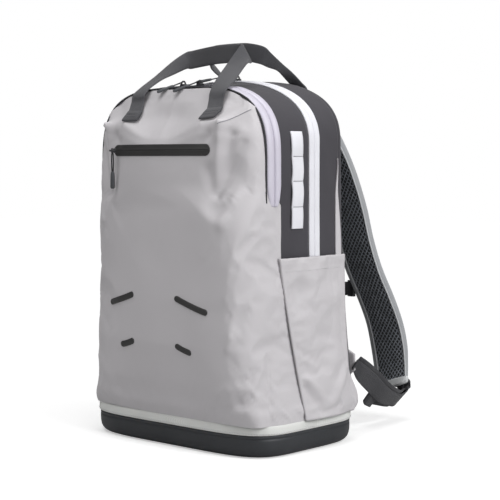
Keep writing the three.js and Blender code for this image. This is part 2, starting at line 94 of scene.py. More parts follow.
# The arch from front to back: depth, half width, shoulder height, top height, squareness.
ARCH = np.array([
    [PIPING_Y - 3, 150.5, 360, SHELL_TOP + 1, 3.4],
    [STRIP_REAR_Y, 152, 374, SHELL_TOP + 5.5, 3.0],
    [MAIN_ZIP_FRONT_Y, 153, 398, SHELL_TOP + 12.5, 2.35],
    [REAR_SEAM_Y, 152, 402, SHELL_TOP + 15.5, 2.4],
])
# The front face's centre line, foot to arch, and the back face's: height, depth.
FRONT_PROFILE = np.array([
    [43, -110], [65, -117], [90, -122.5], [140, -130], [200, -131.5], [300, -129], [385, -126.5],
    [406, -125.3], [416, -121.5], [426, -114], [437, -105.5], [449, -97], [458, -91], [466, -86.5],
    [471, -84],
])
BACK_PROFILE = np.array([[43, 108.5], [100, 100], [200, 88], [325, 78.5], [486, 73]])
BASE_SQUARENESS = 5
BACK_SQUARENESS = 4.5
FLARE_POWER = 3


# ---- The shape of the shell ------------------------------------------------------------------------
def between(table, at):
    return np.interp(at, table[:, 0], table[:, 1])


def arch_at(y):
    return [np.interp(y, ARCH[:, 0], ARCH[:, k]) for k in range(1, 5)]


def half_width(y, z):
    """Half the width of the shell at depth y and height z."""
    width, shoulder, top, power = arch_at(y)
    if z > shoulder:
        rise = min(1, (z - shoulder) / (top - shoulder))
        return width * (1 - rise ** power) ** (1 / power)
    share = np.clip(np.abs(y) / BASE_HALF_DEPTH, 0, 1) ** BASE_SQUARENESS
    foot = BASE_HALF_WIDTH * (1 - share) ** (1 / BASE_SQUARENESS)
    drop = (shoulder - z) / (shoulder - SHELL_BOTTOM)
    return width + (foot - width) * drop ** FLARE_POWER


def smooth(edge0, edge1, x):
    t = np.clip((np.asarray(x, float) - edge0) / (edge1 - edge0), 0, 1)
    return t * t * (3 - 2 * t)


def bump(x, centre, width):
    return np.exp(-((np.asarray(x, float) - centre) / width) ** 2)


def unit(vectors):
    return vectors / np.maximum(np.linalg.norm(vectors, axis=-1, keepdims=True), 1e-9)


def runs(path):
    """The unit direction of a path at each of its points."""
    return unit(np.gradient(path, axis=0))


def lengths(path):
    """How far along a path each of its points is."""
    return np.concatenate([[0], np.cumsum(np.linalg.norm(np.diff(path, axis=0), axis=1))])


def resample(points, count):
    """The same line with its points evenly spaced."""
    points = np.asarray(points, float)
    at = lengths(points)
    want = np.linspace(0, at[-1], count)
    return np.stack([np.interp(want, at, points[:, k]) for k in range(3)], 1)


def quarter(count, squareness):
    """A quarter turn of a superellipse, from (1, 0) to (0, 1)."""
    angles = np.linspace(0, math.pi / 2, count)
    power = 2 / squareness
    return [(math.cos(a) ** power, math.sin(a) ** power) for a in angles]


def across_bag(right, left, count):
    """An even line from a right half to a left half, both drawn on the right from the edge to the middle."""
    return resample(list(right) + [(-x, y, z) for x, y, z in reversed(left[:-1])], count)


def arch_line(y, start, count):
    """The arch at depth y, from height start on the right, over the top, to start on the left."""
    width, shoulder, top, power = arch_at(y)
    half = [(half_width(y, z), y, z) for z in np.linspace(start, shoulder, 60)[:-1]]
    half += [(width * a, y, shoulder + (top - shoulder) * b) for a, b in quarter(90, power)]
    return across_bag(half, half, count)


def catmull(before, a, b, after, t):
    """The point a share t of the way from a to b on the smooth curve through four points."""
    return 0.5 * (2 * a + (b - before) * t + (2 * before - 5 * a + 4 * b - after) * t * t
                  + (3 * a - before - 3 * b + after) * t ** 3)


def spline(points, count):
    """A smooth line through points, evenly resampled."""
    p = np.asarray(points, float)
    p = np.vstack([2 * p[0] - p[1], p, 2 * p[-1] - p[-2]])
    shares = np.linspace(0, 1, 16, endpoint=False)
    line = [catmull(*p[k - 1:k + 3], t) for k in range(1, len(p) - 2) for t in shares]
    return resample(line + [p[-2]], count)


def wander(points, scale, seed=0.0):
    """Smooth noise at points, about -1 to 1."""
    flat = np.asarray(points).reshape(-1, 3)
    values = [noise.noise(Vector(p / scale) + Vector((seed, seed * 1.7, -seed))) for p in flat]
    return np.array(values).reshape(np.asarray(points).shape[:-1])


# ---- Meshes ----------------------------------------------------------------------------------------
BAG_CENTRE = np.array([0, -5, 200])


def mesh_object(name, verts, faces, materials, uvs=None, slots=None, rounded=True):
    mesh = bpy.data.meshes.new(name)
    mesh.from_pydata((np.reshape(verts, (-1, 3)) / MM).tolist(), [], faces)
    for material in materials:
        mesh.materials.append(material)
    if uvs is not None:
        layer = mesh.uv_layers.new(name="cloth")
        index = np.zeros(len(mesh.loops), int)
        mesh.loops.foreach_get("vertex_index", index)
        layer.data.foreach_set("uv", (np.reshape(uvs, (-1, 2))[index] / MM).ravel())
    if slots is not None:
        mesh.polygons.foreach_set("material_index", slots)
    mesh.polygons.foreach_set("use_smooth", [rounded] * len(mesh.polygons))
    mesh.update()
    obj = bpy.data.objects.new(name, mesh)
    bpy.context.scene.collection.objects.link(obj)
    return obj


def outward(obj):
    """Turns a closed mesh's faces out."""
    mesh = obj.data
    volume = 0.0
    for p in mesh.polygons:
        corners = [mesh.vertices[k].co for k in p.vertices]
        volume += sum(corners[0].dot(b.cross(c)) for b, c in zip(corners[1:], corners[2:]))
    if volume < 0:
        mesh.flip_normals()
    return obj


def grid_quads(rows, cols, offset=0, flip=False, wrap=False):
    quads = []
    for i in range(rows - 1):
        for j in range(cols if wrap else cols - 1):
            k = (j + 1) % cols
            below = (i + 1) * cols
            q = tuple(offset + n for n in (i * cols + j, i * cols + k, below + k, below + j))
            quads.append(q[::-1] if flip else q)
    return quads


def grid_normals(grid):
    """Unit normals of a grid of points, pointing out of the bag, and the sign that turned them."""
    n = unit(np.cross(np.gradient(grid, axis=1), np.gradient(grid, axis=0)))
    sign = np.sign(np.sum(n * (grid - BAG_CENTRE), axis=2).sum())
    return n * sign, sign


def grid_uv(grid):
    """Lengths along and across a grid, so that a weave keeps its scale."""
    u = np.zeros(grid.shape[:2])
    v = np.zeros(grid.shape[:2])
    u[:, 1:] = np.cumsum(np.linalg.norm(np.diff(grid, axis=1), axis=2), axis=1)
    v[1:] = np.cumsum(np.linalg.norm(np.diff(grid, axis=0), axis=2), axis=0)
    u -= u[:, grid.shape[1] // 2][:, None]
    return np.stack([u, v], 2)


def closed_pair(name, top, under, outer, inner=None, uv=None, sign=None):
    """A closed piece from two facing grids, joined by a rim."""
    rows, cols = top.shape[:2]
    half = rows * cols
    flip = (grid_normals(top)[1] if sign is None else sign) < 0
    faces = grid_quads(rows, cols, 0, flip) + grid_quads(rows, cols, half, not flip)
    slots = [0] * (len(faces) // 2) + [1] * (len(faces) // 2)
    index = np.arange(half).reshape(rows, cols)
    edge = np.concatenate([index[0], index[1:, -1], index[-1, -2::-1], index[-2:0:-1, 0]]).tolist()
    for a, b in zip(edge, edge[1:] + edge[:1]):
        q = (b, a, a + half, b + half)
        faces.append(q[::-1] if flip else q)
        slots.append(0)
    uv = grid_uv(top) if uv is None else uv
    verts, uvs = np.stack([top, under]), np.stack([uv, uv])
    return outward(mesh_object(name, verts, faces, [outer, inner or outer], uvs, slots))


def band(name, grid, lift, thickness, outer, inner=None):
    """A band of cloth over a grid, its outer side `lift` above it and its thickness given point by point."""
    normals, sign = grid_normals(grid)
    top = grid + normals * np.broadcast_to(lift, grid.shape[:2])[..., None]
    under = top - normals * np.broadcast_to(thickness, grid.shape[:2])[..., None]
    return closed_pair(name, top, under, outer, inner, sign=sign)


def tube(name, rings, material, uvs=None, closed=False, inner=None, slots=()):
    """A closed mesh over rings of points, with flat ends or joined into a ring."""
    rings = np.asarray(rings)
    count, cols = rings.shape[:2]
    last = (count - 1) * cols
    faces = grid_quads(count, cols, wrap=True)
    if closed:
        faces += [(last + j, last + (j + 1) % cols, (j + 1) % cols, j) for j in range(cols)]
    else:
        faces += [tuple(range(cols))[::-1], tuple(range(last, last + cols))]
    slots = list(slots) + [0] * (len(faces) - len(slots))
    return outward(mesh_object(name, rings, faces, [material, inner or material], uvs, slots))


def carried(path, across, out, xs, ys):
    """Rings round a path: xs and ys say how far across and out each point of each ring lies."""
    xs, ys = (np.broadcast_to(v, (len(path), np.shape(v)[-1]))[..., None] for v in (xs, ys))
    return path[:, None] + across[:, None] * xs + out[:, None] * ys


def strip_uv(across, along):
    return np.stack(np.broadcast_arrays(across[None], along[:, None]), 2)


def sweep(name, path, side, section, material, scale=1.0, closed=False):
    """Carries a closed section (points across, points out) along a path. `side` is the across direction."""
    path = np.asarray(path, float)
    tangent = unit(np.roll(path, -1, 0) - np.roll(path, 1, 0)) if closed else runs(path)
    side = np.broadcast_to(np.asarray(side, float), path.shape)
    side = unit(side - tangent * np.sum(side * tangent, axis=1, keepdims=True))
    scale = np.broadcast_to(scale, (len(path), 2))
    xs, ys = section[:, 0] * scale[:, :1], section[:, 1] * scale[:, 1:]
    rings = carried(path, side, np.cross(tangent, side), xs, ys)
    return tube(name, rings, material, strip_uv(lengths(section), lengths(path)), closed)


def stacked(name, rings, material, closed=False):
    """Loops of points joined in order, with flat ends or joined into a ring."""
    rings = np.array(rings)
    round_again = np.concatenate([rings, rings[:, :1]], 1)
    around = np.cumsum(np.linalg.norm(np.diff(round_again, axis=1), axis=2), axis=1)
    down = np.concatenate([around[:1] * 0, np.cumsum(np.linalg.norm(np.diff(rings, axis=0), axis=2), axis=0)])
    return tube(name, rings, material, np.stack([down, around], 2), closed)


def tape_section(width, thickness, crown=0.0):
    """A flat tape's section with rounded edges, crowned along its outer side."""
    r = thickness / 2
    half = width / 2 - r
    turn = np.linspace(0, math.pi, 5)
    out = [(half + r * math.sin(a), -r * math.cos(a)) for a in turn]
    out += [(x, r + crown * (1 - (x / half) ** 2)) for x in np.linspace(half, -half, 6)[1:-1]]
    out += [(-half - r * math.sin(a), r * math.cos(a)) for a in turn]
    out += [(x, -r) for x in np.linspace(-half, half, 6)[1:-1]]
    return np.array(out)


def round_section(radius, sides=8):
    angles = np.linspace(0, 2 * math.pi, sides, endpoint=False)
    return np.stack([np.cos(angles), np.sin(angles)], 1) * radius


def rounded_rectangle(half_x, half_z, radius_x, radius_z, steps):
    points = []
    for k, (sx, sz) in enumerate(((1, 1), (-1, 1), (-1, -1), (1, -1))):
        for angle in np.linspace(0, math.pi / 2, steps) + k * math.pi / 2:
            points.append((sx * (half_x - radius_x) + radius_x * math.cos(angle),
                           sz * (half_z - radius_z) + radius_z * math.sin(angle)))
    return points


def bevelled(obj, width):
    bevel = obj.modifiers.new("bevel", "BEVEL")
    bevel.width = width / MM
    bevel.segments = 3
    bevel.limit_method = "ANGLE"
    bevel.angle_limit = math.radians(35)


def joined(name, objects):
    """One object made of several."""
    bpy.ops.object.select_all(action="DESELECT")
    for o in objects:
        o.select_set(True)
    bpy.context.view_layer.objects.active = objects[0]
    bpy.ops.object.join()
    objects[0].name = name
    objects[0].data.name = name
    return objects[0]


def stitches(name, path, normals, material, length=2.6, gap=1.2, radius=0.28, lift=0.15):
    """A row of thread stitches along a path, each a short rounded bar that dips at its ends."""
    steps = lengths(path)
    at = np.arange(gap, steps[-1] - length, length + gap)[:, None] + np.linspace(0, 1, 5) * length
    dips = np.array([-1.4, 0.5, 0.9, 0.5, -1.4]) * radius
    centre, normal = (np.stack([np.interp(at, steps, v[:, k]) for k in range(3)], -1)
                      for v in (path, normals))
    across = unit(np.cross(unit(np.gradient(centre, axis=1)), normal))
    centre = centre + normal * (lift + dips)[:, None]
    circle = round_section(radius, 5)
    ring = centre[:, :, None] + across[:, :, None] * circle[:, :1] + normal[:, :, None] * circle[:, 1:]
    faces = []
    for base in range(0, 25 * len(at), 25):
        faces += grid_quads(5, 5, base, wrap=True)
        faces += [tuple(range(base, base + 5))[::-1], tuple(range(base + 20, base + 25))]
    return outward(mesh_object(name, ring, faces, [material]))


def ribbon(name, rows, thickness, material, steps=7, tight=()):
    """Flat webbing through rows of (edge, other edge) points; the rows in `tight` stay close."""
    rows = np.array(rows, float)
    rows = np.concatenate([rows[:1], rows, rows[-1:]])
    line = [catmull(*rows[k:k + 4], t) for k in range(len(rows) - 3)
            for t in np.linspace(0, 1, 3 if k in tight else steps, endpoint=False)]
    line = np.array(line + [rows[-1]])
    middle = line.mean(1)
    across = line[:, 1] - line[:, 0]
    width = np.linalg.norm(across, axis=1, keepdims=True)
    out = unit(np.cross(unit(across), np.gradient(middle, axis=0)))
    crown = [(-0.5, 0.0), (-0.49, 0.7), (-0.46, 1.0), (-0.3, 1.12), (-0.1, 1.16)]
    flat = [(0.49, -0.7), (0.46, -1.0), (0.3, -1.0), (0.1, -1.0)]
    profile = crown + [(-x, y) for x, y in reversed(crown)] + flat + [(-x, y) for x, y in reversed(flat)]
    profile = np.array(profile)
    rings = carried(middle, across, out, profile[:, 0], profile[:, 1] * thickness / 2)
    return tube(name, rings, material, strip_uv(profile[:, 0] * width.mean(), lengths(middle)))


def place(obj, body, slot, *nodes):
    """Rides a finished piece on its body and lets it stand for its CAD nodes."""
    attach(obj, body)
    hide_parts(*nodes)


def bend(obj, bodies, start, end, slot, *nodes):
    """Bakes a finished piece's transform into its mesh and hides its CAD nodes; bodies, start and end are not
    used.
    """
    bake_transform(obj)
    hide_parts(*nodes)


# ---- Materials -------------------------------------------------------------------------------------
class Look:
    """A procedural material, built by a few short calls."""

    def __init__(self, name, roughness=0.7, use_uv=True):
        self.material = bpy.data.materials.new(name)
        self.material.use_nodes = True
        self.tree = self.material.node_tree
        self.shader = self.tree.nodes["Principled BSDF"]
        self.set("Roughness", roughness)
        source = self.tree.nodes.new("ShaderNodeTexCoord")
        self.place = source.outputs["Object"]
        split = self.node("SeparateXYZ", {}, source.outputs["UV" if use_uv else "Object"])
        self.u, self.v = split.outputs[0], split.outputs[1 if use_uv else 2]

    def node(self, kind, settings, *inputs):
        made = self.tree.nodes.new("ShaderNode" + kind)
        for key, value in settings.items():
            setattr(made, key, value)
        for socket, value in zip(made.inputs, inputs):
            self.put(socket, value)
        return made

    def put(self, socket, value):
        if isinstance(value, bpy.types.NodeSocket):
            self.tree.links.new(value, socket)
        elif value is not None:
            socket.default_value = value

    def set(self, name, value):
        self.put(self.shader.inputs[name], value)

    def math(self, operation, a, b=None):
        return self.node("Math", {"operation": operation}, a, b).outputs[0]

    def times(self, a, b):
        return self.math("MULTIPLY", a, b)

    def plus(self, a, b):
        return self.math("ADD", a, b)

    def noise(self, scale, detail=3.0):
        made = self.node("TexNoise", {}, self.place)
        self.put(made.inputs["Scale"], scale)
        self.put(made.inputs["Detail"], detail)
        return made.outputs[0]

    def range(self, value, low, high, out_low=0.0, out_high=1.0):
        return self.node("MapRange", {}, value, low, high, out_low, out_high).outputs[0]

    def ripple(self, at, pitch, turn=0.0):
        wave = self.math("SINE", self.plus(self.times(at, 2 * math.pi * MM / pitch), turn))
        return self.plus(self.times(wave, 0.5), 0.5)

    def mix(self, share, a, b):
        made = self.node("Mix", {"data_type": "RGBA"}, share)
        self.put(made.inputs[6], a)
        self.put(made.inputs[7], b)
        return made.outputs[2]

    def bump(self, height, distance, strength=1.0, under=None):
        made = self.tree.nodes.new("ShaderNodeBump")
        self.put(made.inputs["Distance"], distance / MM)
        self.put(made.inputs["Strength"], strength)
        self.put(made.inputs["Height"], height)
        self.put(made.inputs["Normal"], under)
        self.set("Normal", made.outputs[0])
        return made.outputs[0]


def srgb(r, g, b):
    """A colour given as 0 to 255 screen values, in the linear light the shader uses."""
    return tuple(((c / 255 + 0.055) / 1.055) ** 2.4 for c in (r, g, b)) + (1.0,)


def shade(colour, share, extra=0.0):
    return tuple(min(1, c * share + extra) for c in colour[:3]) + (1,)


def woven(name, colour, pitch, roughness, depth, sheen, mottle, contrast, use_uv=True):
    """A plain weave: threads over and under, a little uneven, with soft changes of tone."""
    look = Look(name, roughness, use_uv)
    over = look.times(look.ripple(look.u, 2 * pitch), look.ripple(look.v, 2 * pitch))
    under = look.times(look.ripple(look.u, 2 * pitch, math.pi), look.ripple(look.v, 2 * pitch, math.pi))
    tone = look.range(look.noise(9, 4), 0.3, 0.7)
    base = look.mix(tone, shade(colour, 1 - mottle), shade(colour, 1 + mottle))
    thread = look.times(look.plus(over, under), look.range(look.noise(900, 2), 0.2, 0.8, 0.7, 1.15))
    look.set("Base Color", look.mix(look.range(thread, 0.0, 0.45), shade(colour, 1 - contrast), base))
    look.set("Sheen Weight", sheen)
    look.set("Sheen Roughness", 0.5)
    look.set("Roughness", look.range(tone, 0.0, 1.0, roughness - 0.05, roughness + 0.07))
    look.bump(thread, depth, 0.8, look.bump(look.noise(45, 3), 0.5, 0.35))
    return look.material


def ribbed(name, colour, pitch, roughness, depth, spread):
    """Webbing: a herringbone of ribs along its length with darker gaps between yarns."""
    look = Look(name, roughness)
    along = look.ripple(look.v, pitch * 1.5)
    slant = look.ripple(look.plus(look.u, look.times(along, pitch * 0.6 / MM)), pitch)
    yarn = look.times(slant, look.ripple(look.v, pitch * 0.55))
    tone = look.plus(look.times(look.noise(25, 4), 0.6), look.times(yarn, 0.4))
    tones = shade(colour, 1 - spread), shade(colour, 1 + spread)
    look.set("Base Color", look.mix(look.range(tone, 0.25, 0.6), *tones))
    look.set("Sheen Weight", 0.2)
    look.bump(look.plus(yarn, look.times(look.noise(1400, 1), 0.25)), depth, 0.7)
    return look.material


def grosgrain(name, colour, pitch):
    """Binding and zip tape: fine cords across the tape, with a softer fleck."""
    look = Look(name, 0.72)
    cords = look.ripple(look.v, pitch)
    fleck = look.noise(700, 2)
    tone = look.times(look.range(cords, 0.0, 0.6, 0.55, 1.0), look.range(fleck, 0.25, 0.75, 0.85, 1.1))
    look.set("Base Color", look.mix(look.math("MINIMUM", tone, 1.0), shade(colour, 0.8), colour))
    look.bump(look.plus(cords, fleck), 0.16, 0.7)
    return look.material


def moulded(name, colour, roughness=0.6, grain=0.02, grain_scale=3000, wear=0.1):
    """Moulded plastic, foam or thread: a fine grain, a little dust in it, and edges rubbed lighter."""
    look = Look(name, roughness, use_uv=False)
    edge = look.tree.nodes.new("ShaderNodeNewGeometry").outputs["Pointiness"]
    rubbed = look.times(look.range(edge, 0.515, 0.56), look.range(look.noise(60, 4), 0.35, 0.65))
    base = look.mix(look.range(look.noise(14, 5), 0.4, 0.75), colour, shade(colour, 1.25, 0.004))
    look.set("Base Color", look.mix(look.times(rubbed, wear), base, shade(colour, 1.8, 0.02)))
    look.set("Roughness", look.range(look.noise(30, 4), 0.3, 0.7, roughness - 0.07, roughness + 0.1))
    look.bump(look.noise(grain_scale, 2), grain, 0.6)
    return look.material


def lattice(name, use_uv):
    """Spacer mesh: grey threads in a diagonal net over a black ground."""
    look = Look(name, 0.85, use_uv)
    slope = look.times(look.v, 0.8)
    rise = look.ripple(look.plus(look.u, slope), 6.6)
    fall = look.ripple(look.math("SUBTRACT", look.u, slope), 6.6)
    thread = look.math("MAXIMUM", look.range(rise, 0.7, 0.92), look.times(look.range(fall, 0.72, 0.95), 0.85))
    lit = look.times(thread, look.range(look.noise(120, 3), 0.3, 0.7, 0.55, 1.0))
    look.set("Base Color", look.mix(lit, srgb(14, 15, 17), srgb(156, 161, 169)))
    look.set("Sheen Weight", 0.1)
    look.bump(lit, 0.6, 0.9)
    return look.material


def braided(name, colour):
    """Braided cord: strands winding round it."""
    look = Look(name, 0.6)
    strand = look.ripple(look.plus(look.u, look.times(look.v, 1.4)), 1.3)
    look.set("Base Color", look.mix(strand, shade(colour, 0.55), colour))
    look.bump(strand, 0.25, 0.8)
    return look.material


LINING = srgb(141, 143, 146)
M = {
    "light_fabric": woven("light_fabric_cloth", srgb(198, 195, 198), 0.7, 0.66, 0.07, 0.08, 0.025, 0.07),
    "dark_fabric": woven("dark_fabric_cloth", srgb(60, 58, 64), 0.8, 0.8, 0.1, 0.15, 0.09, 0.25),
    "strap_fabric": woven("strap_fabric_cloth", srgb(158, 160, 163), 0.8, 0.75, 0.1, 0.15, 0.05, 0.12),
    "liner": woven("liner_cloth", LINING, 0.8, 0.85, 0.08, 0.1, 0.05, 0.15, use_uv=False),
    "liner_uv": woven("lining_cloth", LINING, 0.8, 0.85, 0.08, 0.1, 0.05, 0.15),
    "zip_cover": woven("zip_cover_cloth", srgb(203, 199, 212), 0.5, 0.42, 0.03, 0.05, 0.02, 0.03),
    "piping_light": woven("strap_piping_cloth", srgb(190, 192, 194), 0.6, 0.6, 0.05, 0.1, 0.03, 0.08),
    "end_cap": woven("end_cap_cloth", srgb(206, 208, 209), 0.7, 0.6, 0.08, 0.1, 0.03, 0.08),
    "white_webbing": ribbed("white_webbing_tape", srgb(232, 232, 238), 1.3, 0.7, 0.2, 0.06),
    "dark_webbing": ribbed("dark_webbing_tape", srgb(74, 74, 78), 1.6, 0.78, 0.3, 0.28),
    "black_webbing": ribbed("black_webbing_tape", srgb(54, 54, 59), 1.6, 0.78, 0.3, 0.3),
    "binding": grosgrain("binding_tape", srgb(228, 229, 226), 1.4),
    "zip_tape": grosgrain("zip_tape_weave", srgb(48, 48, 52), 1.0),
    "moulded_base": moulded("moulded_base_grain", srgb(41, 43, 47), 0.5, 0.14, 1100, 0.4),
    "black_trim": moulded("black_trim_satin", srgb(38, 38, 41), 0.38, 0.03, 2500, 0.5),
    "bar": moulded("welded_bar_satin", srgb(42, 41, 41), 0.5, 0.05, 1800, 0.3),
    "grip": moulded("grip_rubber", srgb(70, 72, 76), 0.55, 0.05, 1500, 0.3),
    "mesh_pad": lattice("mesh_pad_net", use_uv=True),
    "back_mesh": lattice("back_mesh_net", use_uv=False),
    "cord": braided("black_cord", srgb(46, 46, 50)),
    "thread": moulded("light_thread", srgb(196, 196, 198)),
    "grey_thread": moulded("grey_thread", srgb(120, 120, 126)),
    "dark_thread": moulded("dark_thread", srgb(36, 36, 40)),
}


# ---- Base ------------------------------------------------------------------------------------------
def signed_power(values, power):
    return np.sign(values) * np.abs(values) ** power


def base_loop(inset, z, steps=200):
    angles = np.linspace(0, 2 * math.pi, steps, endpoint=False)
    power = 2 / BASE_SQUARENESS
    x = (BASE_HALF_WIDTH - inset) * signed_power(np.cos(angles), power)
    y = (BASE_HALF_DEPTH - inset) * signed_power(np.sin(angles), power)
    return np.stack([x, y, np.full(steps, z)], 1)


def base_shell():
    outside = [(30, 0), (15, 0), (10.5, 0.5), (7, 1.8), (4.2, 4), (2.2, 7), (0.9, 11), (0.2, 16), (0.0, 22),
               (0.0, 24.4), (0.7, 25.1), (0.7, 26.1), (0, 26.8), (0, 29.2), (0.5, 29.9)]
    inside = [(2.5, 29.9), (3, 29.3), (3.3, 16), (6, 8), (12, 4.4), (30, 4)]
    tray = stacked("base_tray_shell", [base_loop(*at) for at in outside + inside], M["moulded_base"])
    place(tray, "bag", "moulded_base", "base_tray")


def base_edge_tape():
    low = TRAY_TOP + 0.3
    section = [(-0.1, 0.0), (-0.9, 0.05), (-1.25, 0.2), (-1.35, 0.45), (-1.3, 0.7), (-1.0, 0.93), (-0.3, 1.0),
               (1.6, 1.0), (2.3, 0.9), (2.4, 0.1), (1.6, 0.0)]
    loops = []
    for inset, share in section:
        loop = base_loop(inset, low + (BINDING_TOP - low) * share, 320)
        ripple = wander(loop, 22, 3.0)
        loop[:, :2] += unit(loop[:, :2]) * (ripple * 0.35)[:, None]
        loop[:, 2] += ripple * (0.25 if share > 0.5 else 0)
        loops.append(loop)
    tape = stacked("base_edge_tape", loops, M["binding"], closed=True)
    place(tape, "bag", "zip_cover", "base_binding")
    row = base_loop(-1.35, low + 2.6, 320)
    row = np.vstack([row, row[:1]])
    sewn = stitches("base_edge_stitches", row, unit(row * (1, 1.4, 0)), M["thread"])
    place(sewn, "bag", "zip_cover")


# ---- Cloth settling --------------------------------------------------------------------------------
def settle(name, grid, hold, slack, pressure, cap, frames=20):
    """How far each point of a grid of cloth moves when it settles, with `hold` (0 to 1) pinning it."""
    rows, cols = grid.shape[:2]
    obj = mesh_object(name, grid, grid_quads(rows, cols, 0, grid_normals(grid)[1] < 0), [])
    group = obj.vertex_groups.new(name="hold")
    for k, weight in enumerate(np.clip(hold, 0, 1).ravel()):
        group.add([k], float(weight), "REPLACE")
    cloth = obj.modifiers.new("cloth", "CLOTH")
    cloth.collision_settings.use_collision = False
    cloth.settings.effector_weights.gravity = 0
    wanted = {"vertex_group_mass": "hold", "quality": 6, "mass": 0.4, "tension_stiffness": 25,
              "compression_stiffness": 25, "shear_stiffness": 12, "bending_stiffness": 1.2, "air_damping": 2,
              "shrink_min": -slack, "use_pressure": True, "uniform_pressure_force": pressure}
    for key, value in wanted.items():
        setattr(cloth.settings, key, value)
    scene = bpy.context.scene
    for frame_number in range(1, frames + 1):
        scene.frame_set(frame_number)
    settled = obj.evaluated_get(bpy.context.evaluated_depsgraph_get()).to_mesh()
    after = np.zeros(len(settled.vertices) * 3)
    settled.vertices.foreach_get("co", after)
    bpy.data.objects.remove(obj)
    scene.frame_set(1)
    moved = after.reshape(grid.shape) * MM - grid
    return moved * np.minimum(1, cap / np.maximum(np.linalg.norm(moved, axis=2, keepdims=True), 1e-6))


def crease(p, q, height, a, b, start, end, width, power=2):
    """A ridge over points (p, q), along the segment from start (height * a) to end (height * b)."""
    start, end = np.array(start), np.array(end)
    along = end - start
    inner = np.clip(((p - start[0]) * along[0] + (q - start[1]) * along[1]) / (along @ along), 0, 1)
    gap = np.hypot(p - start[0] - along[0] * inner, q - start[1] - along[1] * inner)
    return height * (a + (b - a) * inner) * np.exp(-(gap / width) ** power)


def creases(p, q, ridges):
    return sum(crease(p, q, *ridge) for ridge in ridges)


# ---- Front fabric ----------------------------------------------------------------------------------
FRONT_COLUMNS = 161
FRONT_HEIGHTS = np.concatenate([
    np.linspace(SHELL_BOTTOM - 0.6, 380, 86)[:-1], np.linspace(380, SHELL_TOP + 0.3, 34),
])
# Ridges and dents of the front, as the arguments of crease() after its points, here (x, z) on either side.
BOTH_SIDES_CREASES = [
    (9.0, 1, 1, (104, 420), (103, 419), 9, 1.1), (4.4, 1, 0.3, (104, 420), (78, 426), 6, 1.2),
    (3.6, 1, 0, (72, 424), (20, 402), 6, 1.2), (4.4, 1, 0.6, (105, 421), (131, 443), 6, 1.2),
    (-2.6, 0.8, 1, (92, 438), (112, 452), 8), (-6.6, 1, 0.3, (118, 410), (112, 364), 8),
    (4.4, 1, 0.2, (104, 408), (98, 350), 6, 1.6), (-4.0, 1, 0.5, (88, 410), (80, 402), 7),
    (-5.0, 0.5, 1, (134, 398), (104, 334), 7), (3.8, 0.3, 1, (141, 376), (119, 298), 8),
    (-3.6, 1, 0.3, (88, 366), (100, 320), 8),
]
RIGHT_CREASES = [
    (2.8, 1, 0.2, (124, 92), (82, 66), 6, 1.4), (-3.0, 1, 0.4, (134, 74), (92, 58), 6),
    (2.4, 0.6, 1, (143, 64), (108, 52), 5, 1.4), (2.0, 1, 1, (134, 158), (131, 142), 5),
    (-2.0, 1, 0.3, (139, 148), (122, 118), 6), (1.8, 0.2, 1, (146, 250), (128, 206), 7, 1.4),
]
LEFT_CREASES = [(-2.4, 1, 0.2, (132, 176), (96, 150), 8), (2.0, 1, 0.2, (130, 108), (92, 84), 8)]


def pocket_seam_y(z):
    return -22.5 - 38 * np.clip((z - SHELL_BOTTOM) / (POCKET_TOP - SHELL_BOTTOM), 0, 1)


def front_fabric_edge(z):
    """Depth of the front fabric's rear edge: under the pocket, then the gusset, then the piping."""
    low = pocket_seam_y(z) + 9
    edge = low + (STRIP_REAR_Y + 1.5 - low) * smooth(POCKET_TOP - 14, POCKET_TOP + 2, z)
    return edge + (PIPING_Y + 0.5 - edge) * smooth(FRONT_FOLD_Z - 4, FRONT_FOLD_Z + 26, z)


def front_depth(x, z):
    """Depth of the front on its own centre line, with the crease of the slope dipping in the middle."""
    rise = 5 * bump(np.abs(x), 74, 20) - 11 * bump(np.abs(x), 10, 40)
    return between(FRONT_PROFILE, z - rise * smooth(370, 408, z) * (1 - smooth(430, 458, z)))


def front_row(z, count):
    """The front at height z; its right half is squarer low down, and its left half rounder."""
    corner = PIPING_Y + 0.5
    edge = float(front_fabric_edge(z))
    width = half_width(corner, z)
    low = np.clip((200 - z) / 150, 0, 1)
    halves = []
    for squareness in (2.35 + 3.6 * float(smooth(350, 280, z)), 1.75 + 1.15 * low ** 2):
        half = []
        if edge > corner + 0.001:
            half = [(half_width(y, z), y, z) for y in np.linspace(edge, corner, 40)[:-1]]
        half += [(width * a, corner + (float(front_depth(width * a, z)) - corner) * b, z)
                 for a, b in quarter(120, squareness)]
        halves.append(half)
    return across_bag(*halves, count)


def front_wrinkles(grid):
    """The folds of the front: the pinched corners, the slope's seams, and soft waves by the side edges."""
    x, z = np.abs(grid[..., 0]), grid[..., 2]
    right = smooth(-20, 50, grid[..., 0])
    lift = creases(x, z, BOTH_SIDES_CREASES) + 2.0 * bump(z, 56, 9)
    lift += right * creases(x, z, RIGHT_CREASES) + (1 - right) * creases(x, z, LEFT_CREASES)
    soft = wander(grid, 85, 1.3) * 2.6 + wander(grid, 38, 5.1) * 1.1
    ends = smooth(SHELL_BOTTOM, SHELL_BOTTOM + 18, z) * (1 - smooth(440, 468, z))
    return lift + soft * (0.3 + 0.7 * smooth(60, 110, x)) * ends


